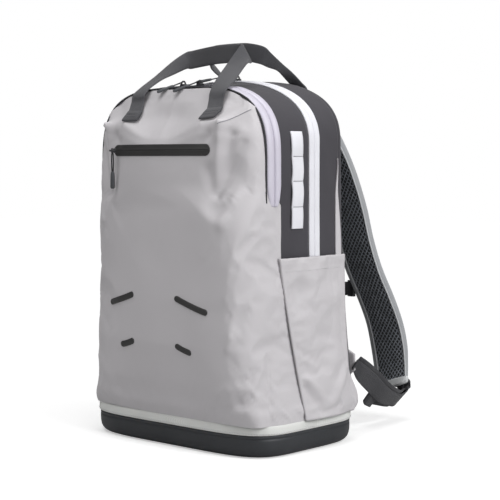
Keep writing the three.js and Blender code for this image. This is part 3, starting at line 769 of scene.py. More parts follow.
def front_fabric():
    grid = np.array([front_row(z, FRONT_COLUMNS) for z in FRONT_HEIGHTS])
    normals, _ = grid_normals(grid)
    x, y, z = np.abs(grid[..., 0]), grid[..., 1], grid[..., 2]
    from_edge = np.minimum(np.arange(FRONT_COLUMNS), np.arange(FRONT_COLUMNS)[::-1]) + 0 * x
    side_hold = np.maximum(np.sqrt(smooth(10, 0, np.abs(y - front_fabric_edge(z)))), smooth(5, 1, from_edge))
    end_hold = np.maximum(smooth(SHELL_BOTTOM + 6, SHELL_BOTTOM, z), smooth(450, 466, z))
    zip_hold = bump(z, 390, 12) * smooth(104, 88, x)
    hold = np.maximum.reduce([side_hold, end_hold, zip_hold * 0.6])
    moved = settle("front_cloth_sim", grid, hold, 0.012, 0.5, 4.5)
    share = (0.35 + 0.65 * smooth(50, 110, x)) * (1 - 0.5 * smooth(310, 350, z))
    grid = grid + moved * share[..., None]
    return grid + normals * front_wrinkles(grid)[..., None]


FRONT = front_fabric()
FRONT_UV = grid_uv(FRONT)
FRONT_NORMALS, _ = grid_normals(FRONT)
# A tree over the finished front, so that trim can be laid on it.
FRONT_TREE = BVHTree.FromPolygons([Vector(p) for p in FRONT.reshape(-1, 3)], grid_quads(*FRONT.shape[:2]))


def front_piece(name, rows, fabric, *nodes):
    """Some rows of the front as a sheet, shaded by the whole front's normals so that no join shows."""
    normals = FRONT_NORMALS[rows]
    top = FRONT[rows]
    piece = closed_pair(name, top, top - normals * 1.2, M["light_fabric"], M["liner_uv"], FRONT_UV[rows])
    piece.data.normals_split_custom_set_from_vertices(np.stack([normals, -normals]).reshape(-1, 3).tolist())
    bend(piece, *fabric, "light_fabric", *nodes)


def front_pieces():
    split = int(np.searchsorted(FRONT_HEIGHTS, PANEL_SPLIT_Z))
    lower_nodes = ("front_panel_lower", "front_panel_middle")
    front_piece("front_fabric_lower", slice(split + 1), MAIN_FABRIC, *lower_nodes)
    front_piece("front_fabric_upper", slice(split, None), FRONT_FABRIC, "front_panel_upper")


def on_front(x, z, lift=0.0):
    """The point on the front fabric straight behind (x, z), pushed out by lift, and its outward direction."""
    found, normal, _, _ = FRONT_TREE.ray_cast(Vector((x, -400, z)), Vector((0, 1, 0)))
    if normal.y > 0:
        normal.negate()
    return np.array(found) + np.array(normal) * lift, np.array(normal)


def laid(x, z, lift):
    return on_front(x, z, lift)[0]


# ---- Arched bands ----------------------------------------------------------------------------------
def arch_grid(depths, start, count):
    """Rows along the arch at each depth, from the height start on one side to the same on the other."""
    return np.array([arch_line(y, start, count) for y in depths])


def strip_half(name, front, rear, seam_in_front):
    """Half of the puffy cover over the front zip: crowned, narrowing to a rounded tip at each lower end."""
    share = np.linspace(0, 1, 13)[:, None]
    start = FRONT_FOLD_Z - 3
    grid = arch_grid((front + (rear - front) * share)[:, 0], start, 260)
    above = grid[0, :, 2] - start
    taper = 0.3 + 0.7 * np.sqrt(np.clip(above / 26, 0, 1))
    seam_side, pull = (1 - share, 0.8) if seam_in_front else (share, -0.8)
    grid[..., 1] += (1 - taper) * seam_side * (rear - front) * pull
    tip = np.sqrt(np.clip(above / 9, 0, 1))
    crown = np.sin(np.pi * np.clip(share, 0.02, 0.98)) ** 0.55
    full = 0.12 + 0.88 * smooth(60, 90, np.abs(grid[..., 0]))
    lift = 0.7 + crown * 3.0 * (0.55 + 0.45 * taper) * (0.35 + 0.65 * tip) * full
    lift += wander(grid, 60, 2.0 + front / MM) * 0.5
    return band(name, grid, lift, lift + 0.5, M["zip_cover"])


def front_zip_strip():
    front = strip_half("front_zip_cover_front", PIPING_Y + 1.6, FRONT_ZIP_Y - 0.25, True)
    bend(front, *FRONT_FABRIC, "zip_cover", "front_zip_tape_front")
    rear = strip_half("front_zip_cover_rear", FRONT_ZIP_Y + 0.25, STRIP_REAR_Y, False)
    place(rear, "main_flap", "zip_cover", "front_zip_tape_rear")
    line = arch_line(PIPING_Y, FRONT_FOLD_Z + 1, 240)
    line += unit((line - (0, PIPING_Y, 200)) * (1, 0, 1)) * 0.9
    cord = sweep("front_piping_cord", line, (0, 1, 0), round_section(1.35, 10), M["zip_tape"])
    bend(cord, *FRONT_FABRIC, "black_trim", "front_piping")


def gusset_relief(grid, seed):
    """Slack cloth between two seams: it hollows between them and ripples along its length."""
    ripple = wander(grid, 55, seed) * 1.5 + wander(grid, 22, seed + 4) * 0.5
    return ripple * np.sin(np.pi * np.linspace(0, 1, len(grid)))[:, None] ** 0.7


def front_gusset():
    depths = np.linspace(STRIP_REAR_Y - 6, MAIN_ZIP_FRONT_Y - 0.2, 17)
    grid = arch_grid(depths, MAIN_BEND[0] - 4, 240)
    tucked = smooth(MAIN_ZIP_FRONT_Y - 20, STRIP_REAR_Y + 1, grid[..., 1])
    drop = 2.4 * tucked * smooth(FRONT_BEND[1] + 20, FRONT_BEND[0], grid[..., 2])
    lift = (gusset_relief(grid, 9.0) - 0.5) * (1 - tucked) - drop
    piece = band("gusset_cloth_front", grid, lift, 1.1, M["dark_fabric"], M["liner_uv"])
    bend(piece, *MAIN_FABRIC, "dark_fabric", "front_gusset")


def main_zip():
    """Two white tapes that meet over the main zip, each a little proud."""
    share = np.linspace(0, 1, 9)
    edge = np.clip(np.minimum(share, 1 - share) / 0.15, 0, 1) ** 0.5
    covers = []
    for word, front, rear in (("front", MAIN_ZIP_FRONT_Y - 0.6, MAIN_ZIP_Y - 0.12),
                              ("rear", MAIN_ZIP_Y + 0.12, MAIN_ZIP_REAR_Y + 0.6)):
        grid = arch_grid(front + (rear - front) * share, MAIN_BEND[0] - 4, 260)
        lift = (1.0 + 0.9 * edge)[:, None] + wander(grid, 30, 6.0) * 0.25
        covers.append(band(f"main_zip_cover_{word}", grid, lift, 1.6, M["white_webbing"]))
    bend(covers[0], *MAIN_FABRIC, "white_webbing", "main_zip_tape_front")
    place(covers[1], "bag", "white_webbing", "main_zip_tape_rear")


def pocket_recess(y, z):
    """How far the bag's side is pressed in behind the side pocket."""
    window = smooth(SHELL_BOTTOM + 3, SHELL_BOTTOM + 25, z) * (1 - smooth(205, 245, z)) * smooth(-24, -8, y)
    return (4.5 + 9 * np.clip((REAR_SEAM_Y - y) / (REAR_SEAM_Y - MAIN_ZIP_REAR_Y), 0, 1)) * window


def rear_gusset():
    grid = arch_grid(np.linspace(MAIN_ZIP_REAR_Y + 0.2, REAR_SEAM_Y + 1.5, 15), SHELL_BOTTOM, 280)
    lift = gusset_relief(grid, 14.0) - pocket_recess(grid[..., 1], grid[..., 2])
    piece = band("gusset_cloth_rear", grid, lift, 1.1, M["dark_fabric"], M["liner_uv"])
    place(piece, "bag", "dark_fabric", "rear_gusset")


def side_wall(side, word):
    grid = np.array([[(side * (half_width(y, z) - float(pocket_recess(y, z)) - 2.2), y, z)
                      for y in np.linspace(-34, MAIN_ZIP_REAR_Y + 1, 14)]
                     for z in np.linspace(SHELL_BOTTOM, MAIN_BEND[0] + 8, 40)])
    piece = band(f"side_wall_cloth_{word}", grid, 0, 1.1, M["dark_fabric"], M["liner_uv"])
    place(piece, "bag", "dark_fabric", f"side_wall_{word}")


def daisy_chain(side, word):
    """Tape sewn down at intervals, so that it stands off in loops, with bar tacks between them."""
    node = f"daisy_chain_{word}"
    _, front, low = lo(node)
    _, rear, high = hi(node)
    tacks = low + (high - low) * np.array([0.012, 0.225, 0.49, 0.745, 0.988])
    heights = np.linspace(low, high, 90)
    free = np.abs(np.sin(np.pi * np.interp(heights, tacks, np.arange(len(tacks)))))
    share = np.linspace(0, 1, 9)
    grid = np.array([[(side * half_width(y, z), y, z) for y in front + (rear - front) * share]
                     for z in heights])
    edge = np.clip(np.minimum(share, 1 - share) / 0.1, 0, 1) ** 0.5
    grid[..., 1] += (free * 0.8 * np.sin(heights / 17))[:, None]
    piece = band(f"daisy_chain_tape_{word}", grid, 1.0 + 1.3 * free[:, None] ** 0.7 + 0.5 * edge, 1.6,
                 M["white_webbing"])
    place(piece, "main_flap", "white_webbing", node)
    for k, z in enumerate(tacks[1:-1]):
        depths = np.linspace(front + 1.5, rear - 1.5, 12)
        path = np.array([(side * (half_width(y, z) + 1.9), y, z) for y in depths])
        normals = np.tile([side, 0, 0.0], (len(path), 1))
        tack = stitches(f"daisy_chain_tack_{word}_{k}", path, normals, M["grey_thread"], 1.3, 0.5, 0.4, 0.1)
        place(tack, "main_flap", "white_webbing")


# ---- Side pockets ----------------------------------------------------------------------------------
# Ridges and dents of a side pocket, as the arguments of crease() after its points, here (y, z).
POCKET_CREASES = [
    (4.0, 1, 0.3, (68, 104), (24, 60), 7), (-3.4, 0.8, 1, (74, 84), (36, 50), 6),
    (3.0, 1, 0.2, (-20, 96), (24, 58), 6), (-3.2, 1, 0.3, (-22, 84), (6, 54), 6),
    (2.4, 0.4, 1, (60, 70), (86, 54), 6), (-1.4, 1, 0.4, (10, 112), (48, 96), 8),
]


def pocket_rear_y(z):
    """The rear edge of the pocket, drawn out to a point over the end of the binding."""
    tip = smooth(100, 60, z) * smooth(SHELL_BOTTOM - 6, 54, z)
    return POCKET_REAR_Y + 15 * tip + 4 * smooth(200, 60, z)


def pocket_grid(side, heights, shares):
    """The pocket before its cloth settles: it bulges out of the bag's side, most of all low down."""
    grid = []
    for z in heights:
        front, rear = float(pocket_seam_y(z)), float(pocket_rear_y(z))
        height = (z - SHELL_BOTTOM) / (POCKET_TOP - SHELL_BOTTOM)
        row = []
        for s in shares:
            y = front + (rear - front) * s
            rise = max(0.0, math.sin(math.pi * min(1, s * 1.12 + 0.01))) ** 0.5
            depth = 1.9 + 0.5 * smooth(0, 0.1, s) + 6 * (1 - 0.75 * height) * rise
            row.append((side * (half_width(min(y, REAR_SEAM_Y), z) + depth), y, z))
        grid.append(row)
    return np.array(grid)


def side_pocket(side, word):
    heights = np.linspace(SHELL_BOTTOM - 0.4, POCKET_TOP, 76)
    share = np.linspace(0, 1, 46)
    grid = pocket_grid(side, heights, share)
    normals, _ = grid_normals(grid)
    y, z = grid[..., 1], grid[..., 2]
    foot, mouth = z[0, 0], z[-1, 0]
    seams = np.maximum(smooth(0.06, 0, share), smooth(0.92, 1.0, share))
    hold = np.maximum.reduce([seams + 0 * y, smooth(foot + 5, foot, z), 0.35 * smooth(mouth - 5, mouth, z)])
    moved = settle(f"pocket_cloth_sim_{word}", grid, hold, 0.011, 0.35, 4)
    sunk = np.minimum(0, np.sum(moved * normals, axis=2) + 0.5) * (y > 35)
    moved = moved - normals * sunk[..., None]
    lift = 1.6 * bump(y, -10, 22) * bump(z, 236, 12) - 3.4 * bump(y, -28, 14) * bump(z, 214, 22)
    lift += creases(y, z, POCKET_CREASES) + wander(grid, 70, 21.0) * 2.2 + wander(grid, 30, 23.0) * 0.7
    lift = np.where(y > 45, np.maximum(lift, 0.2), lift)
    free = smooth(0, 0.08, share) * smooth(1.0, 0.94, share) * smooth(foot, foot + 10, z)
    grid = grid + moved + normals * (lift * free)[..., None]
    thick = bump(share, 0.0, 0.035) * 1.4 + 0.7 * (z > mouth - 9)
    piece = band(f"side_pocket_cloth_{word}", grid, thick, 1.3 + thick, M["light_fabric"], M["liner_uv"])
    place(piece, "bag", "light_fabric", f"side_pocket_{word}")
    out = normals[-7, 2:-2]
    row = grid[-7, 2:-2] + out * 0.8
    hem_row = stitches(f"side_pocket_hem_stitches_{word}", row, out, M["thread"], 2.2, 1.1, 0.2, 0)
    place(hem_row, "bag", "light_fabric")


# ---- Back ------------------------------------------------------------------------------------------
def back_row(z, count):
    edge = REAR_SEAM_Y + 0.5
    depth = float(between(BACK_PROFILE, z)) + 0.3
    width = half_width(REAR_SEAM_Y, z)
    half = [(width * a, edge + (depth - edge) * b, z) for a, b in quarter(80, BACK_SQUARENESS)]
    return across_bag(half, half, count)


def back_panel():
    top = hi("back_panel")[2]
    heights = np.concatenate([np.linspace(SHELL_BOTTOM - 0.4, 400, 60)[:-1], np.linspace(400, top, 26)])
    grid = np.array([back_row(z, 110) for z in heights])
    normals, _ = grid_normals(grid)
    ends = smooth(heights[0], heights[0] + 15, heights) * smooth(top, top - 20, heights)
    grid = grid + normals * (wander(grid, 75, 31.0) * 1.4 * ends[:, None])[..., None]
    piece = band("back_panel_cloth", grid, 0, 1.4, M["dark_fabric"], M["liner_uv"])
    place(piece, "bag", "light_fabric", "back_panel")


PAD_CORNER = 16
PAD_CHANNELS = (156, 217, 278, 339)


def back_pad(side, word):
    """A foam pad under mesh, swollen by simulation, with channels pressed across it."""
    low, high = lo(f"back_pad_{word}"), hi(f"back_pad_{word}")
    middle, span = (low[0] + high[0]) / 2, (high[0] - low[0]) / 2
    across = np.linspace(-1, 1, 22)
    grid = []
    for z in np.linspace(low[2], high[2], 70):
        end = min(1, min(z - low[2], high[2] - z) / PAD_CORNER)
        inset = (1 - math.sqrt(1 - (1 - end) ** 2)) * PAD_CORNER
        grid.append([(middle + (span - inset) * u, float(between(BACK_PROFILE, z)), z) for u in across])
    grid = np.array(grid)
    z = grid[..., 2]
    down = np.minimum(z - low[2], high[2] - z)
    rim = np.clip((1 - np.abs(across)) * span / 9, 0, 1) * np.clip(down / 9, 0, 1)
    puff = np.sin(rim * math.pi / 2) ** 0.6
    thick = 0.9 + (8.2 + 0.8 * (1 - across ** 2)) * puff
    channels = sum(bump(z, centre, 4.2) for centre in PAD_CHANNELS)
    thick = thick * (1 - 0.62 * channels * (1 - 0.2 * np.abs(across)))
    thick = thick + wander(grid, 26, 40.0 + side) * 0.35 * puff
    top = grid + np.array([0, 1, 0]) * thick[..., None]
    hold = np.maximum(1 - np.clip(rim * 3, 0, 1), channels * 0.9)
    top = top + settle(f"back_pad_sim_{word}", top, hold, 0.03, 0.5, 2.2)
    top[..., 1] = np.maximum(top[..., 1], grid[..., 1] + 0.6)
    piece = closed_pair(f"back_pad_net_{word}", top, grid + (0, 0.4, 0), M["back_mesh"], sign=1)
    place(piece, "bag", "mesh_pad", f"back_pad_{word}")
    outline = rounded_rectangle(1, (high[2] - low[2]) / 2, PAD_CORNER / span, PAD_CORNER, 10)
    path = []
    for start, end in zip(np.array(outline), np.array(outline[1:] + outline[:1])):
        parts = max(1, int(abs(end[1] - start[1]) / 6))
        for k in range(parts):
            u, z = start + (end - start) * k / parts + (0, (low[2] + high[2]) / 2)
            path.append((middle + span * 0.985 * u, float(between(BACK_PROFILE, z)) + 1.3, z))
    edge = sweep(f"back_pad_edge_{word}", path, (0, 1, 0), round_section(1.5), M["dark_fabric"], closed=True)
    place(edge, "bag", "dark_fabric")


def corner_wedge(side, word):
    """The light facing that comes round the rear corner above the pocket, narrowing to a point."""
    grid = []
    for z in np.linspace(POCKET_TOP - 4, 380, 50):
        front = 58.5 - 4.0 * smooth(372, 330, z)
        rear = front + 0.4 + 11 * smooth(380, 258, z) ** 0.8
        row = []
        for y in np.linspace(front, rear, 8):
            turn = min(1, max(0.0, y - REAR_SEAM_Y) / 18)
            row.append((side * half_width(REAR_SEAM_Y, z) * (1 - turn ** 4.5 * 0.05), y, z))
        grid.append(row)
    lift = 1.6 + np.sin(np.pi * np.linspace(0.08, 0.92, 8))
    piece = band(f"rear_corner_facing_{word}", np.array(grid), lift, 2.0, M["light_fabric"])
    place(piece, "bag", "light_fabric")


# ---- Carry handles ---------------------------------------------------------------------------------
def front_handle():
    """From a tab on the slope the right leg stands up, folds over at its top corner and runs across."""
    rows = [
        (laid(70.5, 429, 2.2), laid(91, 431, 2.2)), (laid(72.5, 438, 2.4), laid(93, 440, 2.4)),
        (laid(68, 450, 4), laid(91, 452, 4)), ((65, -92.5, 465), (92, -90, 467)),
        ((61, -78, 480), (86, -66, 482)), ((55, -47, 506), (74, -32, 503)),
        ((57, -26, 529), (66, -16, 505)), ((56, -22.5, 530.5), (65, -13, 506)),
        ((53, -19.5, 531), (60, -11.5, 507)), ((38, -18.5, 531.5), (39, -18.5, 507)),
        ((8, -18.5, 531.5), (8, -19, 506.5)), ((-16, -18.5, 529.5), (-16, -19, 504.5)),
        ((-40, -17.5, 527), (-39, -20.5, 502)), ((-50, -20, 525), (-44, -25, 502)),
        ((-62, -33, 513), (-50, -43, 494)), ((-74, -56, 491), (-52, -64, 486)),
        ((-77, -80, 475), (-52, -86, 474)), ((-79, -92, 465), (-53, -95, 464)),
        (laid(-79, 452, 4), laid(-53, 453, 4)), (laid(-75, 438, 2.4), laid(-50, 438, 2.4)),
        (laid(-76, 430, 2.2), laid(-51, 430, 2.2)),
    ]
    piece = ribbon("front_handle_webbing", rows, 1.9, M["dark_webbing"], tight=(6, 7))
    bend(piece, ("front_flap", "front_handle"), (0, -91, 469), (0, -81, 487), "dark_webbing", "front_handle")
    handle_tab("front_handle_tab_right", rows[0], rows[1])
    handle_tab("front_handle_tab_left", rows[-1], rows[-2])


def handle_tab(name, foot, top):
    """The turned-under end of a handle's webbing, box-stitched to the cloth."""
    foot, top = np.array(foot), np.array(top)
    down = unit((foot - top).mean(0))
    out = np.cross(unit(top[1] - top[0]), down)
    out = out if out[1] < 0 else -out
    rows = [top - down * 3 + out * 1.6, top + down * 1.5 + out * 1.9, foot + down * 0.5 + out * 1.7,
            foot + down * 2.2 + out * 0.2]
    place(ribbon(name, rows, 1.8, M["dark_webbing"], 5), "front_flap", "dark_webbing")
    start, end = (top + foot) / 2 + out * 3.0
    for k, drop in enumerate((-2.6, 2.4)):
        row = start + (end - start) * np.linspace(0.08, 0.92, 14)[:, None] + down * drop
        normals = np.tile(out, (len(row), 1))
        sewn = stitches(f"{name}_stitches_{k}", row, normals, M["dark_thread"], 2.2, 0.9, 0.3, 0)
        place(sewn, "front_flap", "dark_webbing")


def rear_handle():
    rows = [
        ((59, 76, 463), (79, 76, 463)), ((58, 84, 474), (80, 84, 474)), ((52, 79, 483), (72, 81, 484)),
        ((53, 64, 492), (64, 70, 498)), ((54.5, 50, 499), (60, 56, 508)), ((50, 36, 503), (60, 33, 521)),
        ((46, 25, 507), (55, 23, 530)), ((30, 19, 510.5), (32, 18, 535.5)), ((10, 18, 511), (10, 18, 536.5)),
        ((-10, 18, 511), (-10, 18, 536.5)), ((-30, 19, 510.5), (-32, 18, 535.5)),
        ((-45, 25, 507), (-51, 22, 531)), ((-49, 35, 501), (-57, 31, 524)), ((-52, 52, 494), (-63, 46, 515)),
        ((-53, 66, 488), (-67, 62, 506)), ((-52, 78, 482), (-70, 79, 492)), ((-58, 84, 474), (-80, 84, 474)),
        ((-59, 76, 463), (-79, 76, 463)),
    ]
    piece = ribbon("rear_handle_webbing", rows, 1.9, M["dark_webbing"], 6)
    bend(piece, ("bag", "rear_handle"), (0, 86, 474), (0, 72, 490), "dark_webbing", "rear_handle")


# ---- Shoulder straps -------------------------------------------------------------------------------
STRAP_LINE = [
    (58, 74, 466), (59, 92, 452), (60, 108, 438), (62, 132, 407), (65, 153, 375), (70, 168, 338),
    (75, 178, 302), (80, 187, 260), (86, 200, 218), (91, 219, 180), (96, 235, 142), (100, 241, 111),
    (104, 243, 80), (106, 242, 62), (107, 240, 49),
]
STRAP_HALF_WIDTH = 31
STRAP_SHARES = np.linspace(0, 1, 150)
# A strap's section, as shares of its half width and heights: cloth round the outside, then net.
STRAP_CLOTH = [(-0.74, 0.4), (-0.86, 0.0), (-0.95, 0.8), (-1.0, 3.2), (-1.0, 8), (-0.98, 10.6), (-0.92, 12.7),
               (-0.8, 13.8), (-0.5, 14.6), (0.0, 14.9), (0.5, 14.6), (0.8, 13.8), (0.92, 12.7), (0.98, 10.6),
               (1.0, 8), (1.0, 3.2), (0.95, 1.4)]
STRAP_NET = [(0.93, 0.9), (0.8, -0.4), (0.6, -1.0), (0.3, -1.4), (0.0, -1.5), (-0.3, -1.3), (-0.55, -0.8),
             (-0.7, 0.0)]
END_CAP = [(-1.03, 4), (-1.04, 9), (-0.98, 13.4), (-0.7, 15.2), (0, 15.9), (0.7, 15.2), (0.98, 13.4),
           (1.04, 9), (1.03, 4), (1.0, 0.2), (0.9, -1.6), (0.5, -2.4), (0, -2.6), (-0.5, -2.4), (-0.9, -1.6),
           (-1.0, 0.2)]


def strap_frame(side):
    """The strap's bag side along its middle, with its across and outward directions."""
    path = spline(STRAP_LINE, len(STRAP_SHARES)) * (side, 1, 1)
    run = unit(np.gradient(path, axis=0) * (0.5, 1, 1))
    across = unit((1, 0, 0) - run * run[:, :1])
    out = np.cross(across, run)
    return path, across, out * np.sign(out[:, 1:2])


def strap_tilt(path, across_share):
    """The strap's lower end is cut at a slant, its outer corner higher than its inner one."""
    amount = smooth(0.84, 1.0, STRAP_SHARES)[:, None] * (-9 * np.asarray(across_share) - 1)
    return runs(path)[:, None] * amount[..., None]


def swing(piece, word, *nodes):
    """The top of a strap is sewn to the bag; the piece is baked in place and its CAD nodes hidden."""
    bend(piece, ("bag", f"strap_{word}"), (0, 79, 461), (0, 100, 440), "light_fabric", *nodes)


def shoulder_strap(side, word):
    """Padded strap: mesh towards the bag, cloth round the edges and outside, corded seams, an end cap."""
    path, across, out = strap_frame(side)
    ends = 0.12 * smooth(0.12, 0, STRAP_SHARES) + 0.1 * smooth(0.86, 1.0, STRAP_SHARES)
    half = STRAP_HALF_WIDTH * (1 - ends)
    strap_body(side, word, path, across, out, half)
    end_cap(side, word, path, across, out, half)
    for edge, seam, height, edge_word in ((0.955, 0.865, 0.9, "outer"), (-0.72, -0.63, 0.1, "inner")):
        tilted = path + strap_tilt(path, [[edge]])[:, 0]
        line = tilted + across * (side * edge * half)[:, None] + out * height
        corded = sweep(f"strap_cord_{edge_word}_{word}", line, across, round_section(1.25), M["piping_light"])
        swing(corded, word)
        row = (tilted + across * (side * seam * half)[:, None] - out * 0.3)[6:-4]
        name = f"strap_stitches_{edge_word}_{word}"
        swing(stitches(name, row, -out[6:-4], M["grey_thread"], 2.4, 1.4, 0.25, 0), word)


def strap_body(side, word, path, across, out, half):
    section = np.array(STRAP_CLOTH + STRAP_NET)
    shares, heights = section[:, 0], section[:, 1]
    thin = (1 - 0.4 * smooth(0.82, 1.0, STRAP_SHARES)) * (0.35 + 0.65 * smooth(0, 0.06, STRAP_SHARES))
    ys = np.where(heights > 0, heights * thin[:, None], heights)
    rings = carried(path, across, out, side * shares * half[:, None], ys) + strap_tilt(path, shares[None])
    soft = wander(rings, 40, 50.0 + side) * 0.9 * (heights > 2)
    rings = rings + out[:, None] * soft[..., None]
    slots = ([0] * (len(STRAP_CLOTH) - 1) + [1] * (len(STRAP_NET) + 1)) * (len(path) - 1)
    uvs = strip_uv(side * shares * STRAP_HALF_WIDTH, lengths(path))
    piece = tube(f"strap_body_{word}", rings, M["strap_fabric"], uvs, inner=M["mesh_pad"], slots=slots)
    swing(piece, word, f"shoulder_strap_{word}")


def end_cap(side, word, path, across, out, half):
    """A light facing folded round the strap's lower end."""
    shares, heights = np.array(END_CAP).T
    heights = np.where(heights > 1, heights * 0.6, heights)
    rings = carried(path, across, out, side * shares * half[:, None], heights)
    rings = rings + strap_tilt(path, shares[None])
    run = rings[-1] - rings[-2]
    inward = rings[-1].mean(0) - rings[-1]
    last = [rings[-1] + run * step + inward * inset for step, inset in ((0.5, 0.04), (0.9, 0.16))]
    rings = np.concatenate([rings[-4:], last])
    uvs = strip_uv(side * shares * STRAP_HALF_WIDTH, np.linspace(0, 15, len(rings)))
    piece = tube(f"strap_end_cap_{word}", rings, M["end_cap"], uvs)
    rounding = piece.modifiers.new("subdivision", "SUBSURF")
    rounding.levels = 1
    rounding.render_levels = 1
    place(piece, f"strap_{word}", "light_fabric")


def black_ribbon(name, side, rows, thickness=1.8, steps=6):
    """Black webbing through rows drawn for the right side, on the side asked for."""
    return ribbon(name, np.array(rows) * (side, 1, 1), thickness, M["black_webbing"], steps)


def end_webbing(side, word):
    """Webbing gathered under the strap's end and threaded through the ladder lock."""
    rows = [((96, 250, 66), (127, 250, 68)), ((103, 253, 57), (130, 254, 61)),
            ((107, 257, 48), (131, 258, 55)), ((109, 258.5, 42), (131, 259, 50)),
            ((110, 255.5, 39), (132, 256, 48)), ((112, 249, 38), (133, 250, 49))]
    place(black_ribbon(f"lock_anchor_webbing_{word}", side, rows), f"strap_{word}", "dark_webbing")
    fold = [((104, 252, 60), (126, 253, 63)), ((106, 259, 55), (128, 260, 59)),
            ((107, 261, 50), (129, 261.5, 55)), ((108, 258, 46), (129, 259, 52))]
    place(black_ribbon(f"lock_fold_webbing_{word}", side, fold), f"ladder_lock_{word}", "dark_webbing")


def lower_webbing(side, word):
    """Doubled webbing from the wing down to the ladder lock."""
    outer = [
        ((140, 109, 94), (148, 111, 106)), ((134, 127, 75.4), (148.2, 129, 96.2)),
        ((128, 158, 55), (144, 160, 78.5)), ((124, 190, 34.5), (139.8, 192, 57.5)),
        ((118, 222, 24.5), (134.4, 224, 43.5)), ((115, 239, 21.5), (133.8, 241, 43)),
        ((112, 249, 26), (133, 251, 47)), ((107, 254, 36), (129, 256, 51)),
    ]
    inner = [((a[0] - 1, a[1] + 7, a[2] + 5), (b[0], b[1] + 8, b[2] + 3.5)) for a, b in outer[:-3]]
    inner.append(((108, 246, 33), (128, 248, 48)))
    for k, (rows, nodes) in enumerate(((outer, [f"lower_webbing_{word}"]), (inner, []))):
        piece = black_ribbon(f"lower_strap_webbing_{k}_{word}", side, rows, 1.7, 7)
        start, end = (side * 145, 114, 96), (side * 114, 246, 36)
        bend(piece, ("bag", f"strap_{word}"), start, end, "dark_webbing", *nodes)


def strap_tail(side, word):
    """The free end: it lies back along the webbing, its tip folded over and sewn into a block."""
    body = f"strap_tail_{word}"
    tail = [((95, 253, 32), (117, 255, 44)), ((100, 247, 20), (121, 250, 38)),
            ((107, 230, 21), (125, 233, 41)), ((111, 199, 28), (129, 202, 52)),
            ((112, 180, 33), (130, 183, 56))]
    place(black_ribbon(f"strap_tail_webbing_{word}", side, tail, steps=7), body, "dark_webbing", body)
    fold = [((113, 184, 27), (129, 187, 49)), ((114.5, 171, 32), (131, 173, 54)),
            ((115, 167.5, 35), (131.5, 169.5, 57)), ((116, 166, 38), (132.5, 168, 60)),
            ((117, 170, 39), (133, 172, 61)), ((116, 181, 33), (132, 183, 55))]
    place(black_ribbon(f"strap_tail_fold_{word}", side, fold, 2.4), body, "dark_webbing")


def wing(side, word):
    """A triangle of cloth at the lower rear corner, with the webbing sewn to its tip."""
    grid = np.array([[(side * (112 + 30 * share), 110 + 4 * share ** 2 - (z - 90) * 0.06, z)
                      for z in np.linspace(64 + 27 * share, 131 - 18 * share, 12)]
                     for share in np.linspace(0, 1, 16)])
    piece = band(f"wing_cloth_{word}", grid, wander(grid, 30, 60.0) * 0.6 + 1.0, 2.6, M["light_fabric"])
    place(piece, "bag", "light_fabric", f"strap_wing_{word}")


# ---- Buckles and sternum strap ---------------------------------------------------------------------
def dress_cad(node, material, bevel=0.0):
    """A CAD piece whose shape is right keeps it, with a real material and softened edges."""
    obj = frame["nodes"][node]
    obj.data.materials.clear()
    obj.data.materials.append(material)
    if bevel:
        bevelled(obj, bevel)


def sternum(side, word):
    """Chest webbing with its keeper on the strap's edge."""
    node = f"sternum_webbing_{word}"
    low, high = lo(node), hi(node)
    _, y, z = (low + high) / 2
    outer, inner = (high[0], low[0]) if side > 0 else (low[0], high[0])
    droop = (0, 0.3, 0.8, 1.3, 1.6, 1.6, 1.3, 0.7, 0)
    rows = [((x, y + d / 2, z - 10 - d), (x, y + d / 2, z + 10 - d))
            for x, d in zip(np.linspace(outer, inner, 9), droop)]
    piece = ribbon(f"sternum_tape_{word}", rows, 1.8, M["black_webbing"], 5)
    place(piece, f"sternum_{word}", "dark_webbing", node)
    bent = ((-5, 2.6), (2, 3.2), (5.2, 1.2), (5.2, -1.6), (1.5, -3.2), (-5, -2.6))
    path = spline([(outer + side * dx, y + dy, z) for dx, dy in bent], 30)
    keeper = sweep(f"sternum_keeper_{word}", path, (0, 0, 1), tape_section(24, 1.6), M["black_trim"])
    place(keeper, f"sternum_{word}", "black_trim")


def buckle(side, word):
    """Half of a side-release buckle: a body with a window, and either two prongs or their socket."""
    node = f"sternum_buckle_{word}"
    low, high = lo(node), hi(node)
    centre = (low + high) / 2
    width, depth, height = high - low
    outline = rounded_rectangle(width / 2, height / 2, 3.2, 3.2, 6)
    window = (width * 0.16, height * 0.36, -side * width * 0.22)
    parts = [prism(f"sternum_clip_{word}", outline, centre, depth * 0.62, window)]
    if side > 0:
        prong = [(-0.5, -1.4), (0.9, -1.7), (1.9, -0.4), (1.5, 1.6), (-0.5, 1.3)]
        for sign in (1, -1):
            points = [(-side * (width / 2 + a - 0.8), sign * (height * 0.3 - b)) for a, b in prong]
            parts.append(prism("prong", points, centre, depth * 0.4))
    else:
        lip = rounded_rectangle(1.2, height * 0.36, 1.1, 1.1, 6)
        parts.append(prism("lip", [(x + width / 2 - 0.4, z) for x, z in lip], centre, depth * 0.95))
    clip = joined(f"sternum_clip_{word}", parts)
    bevelled(clip, 0.5)
    place(clip, f"sternum_{word}", "black_trim", node)


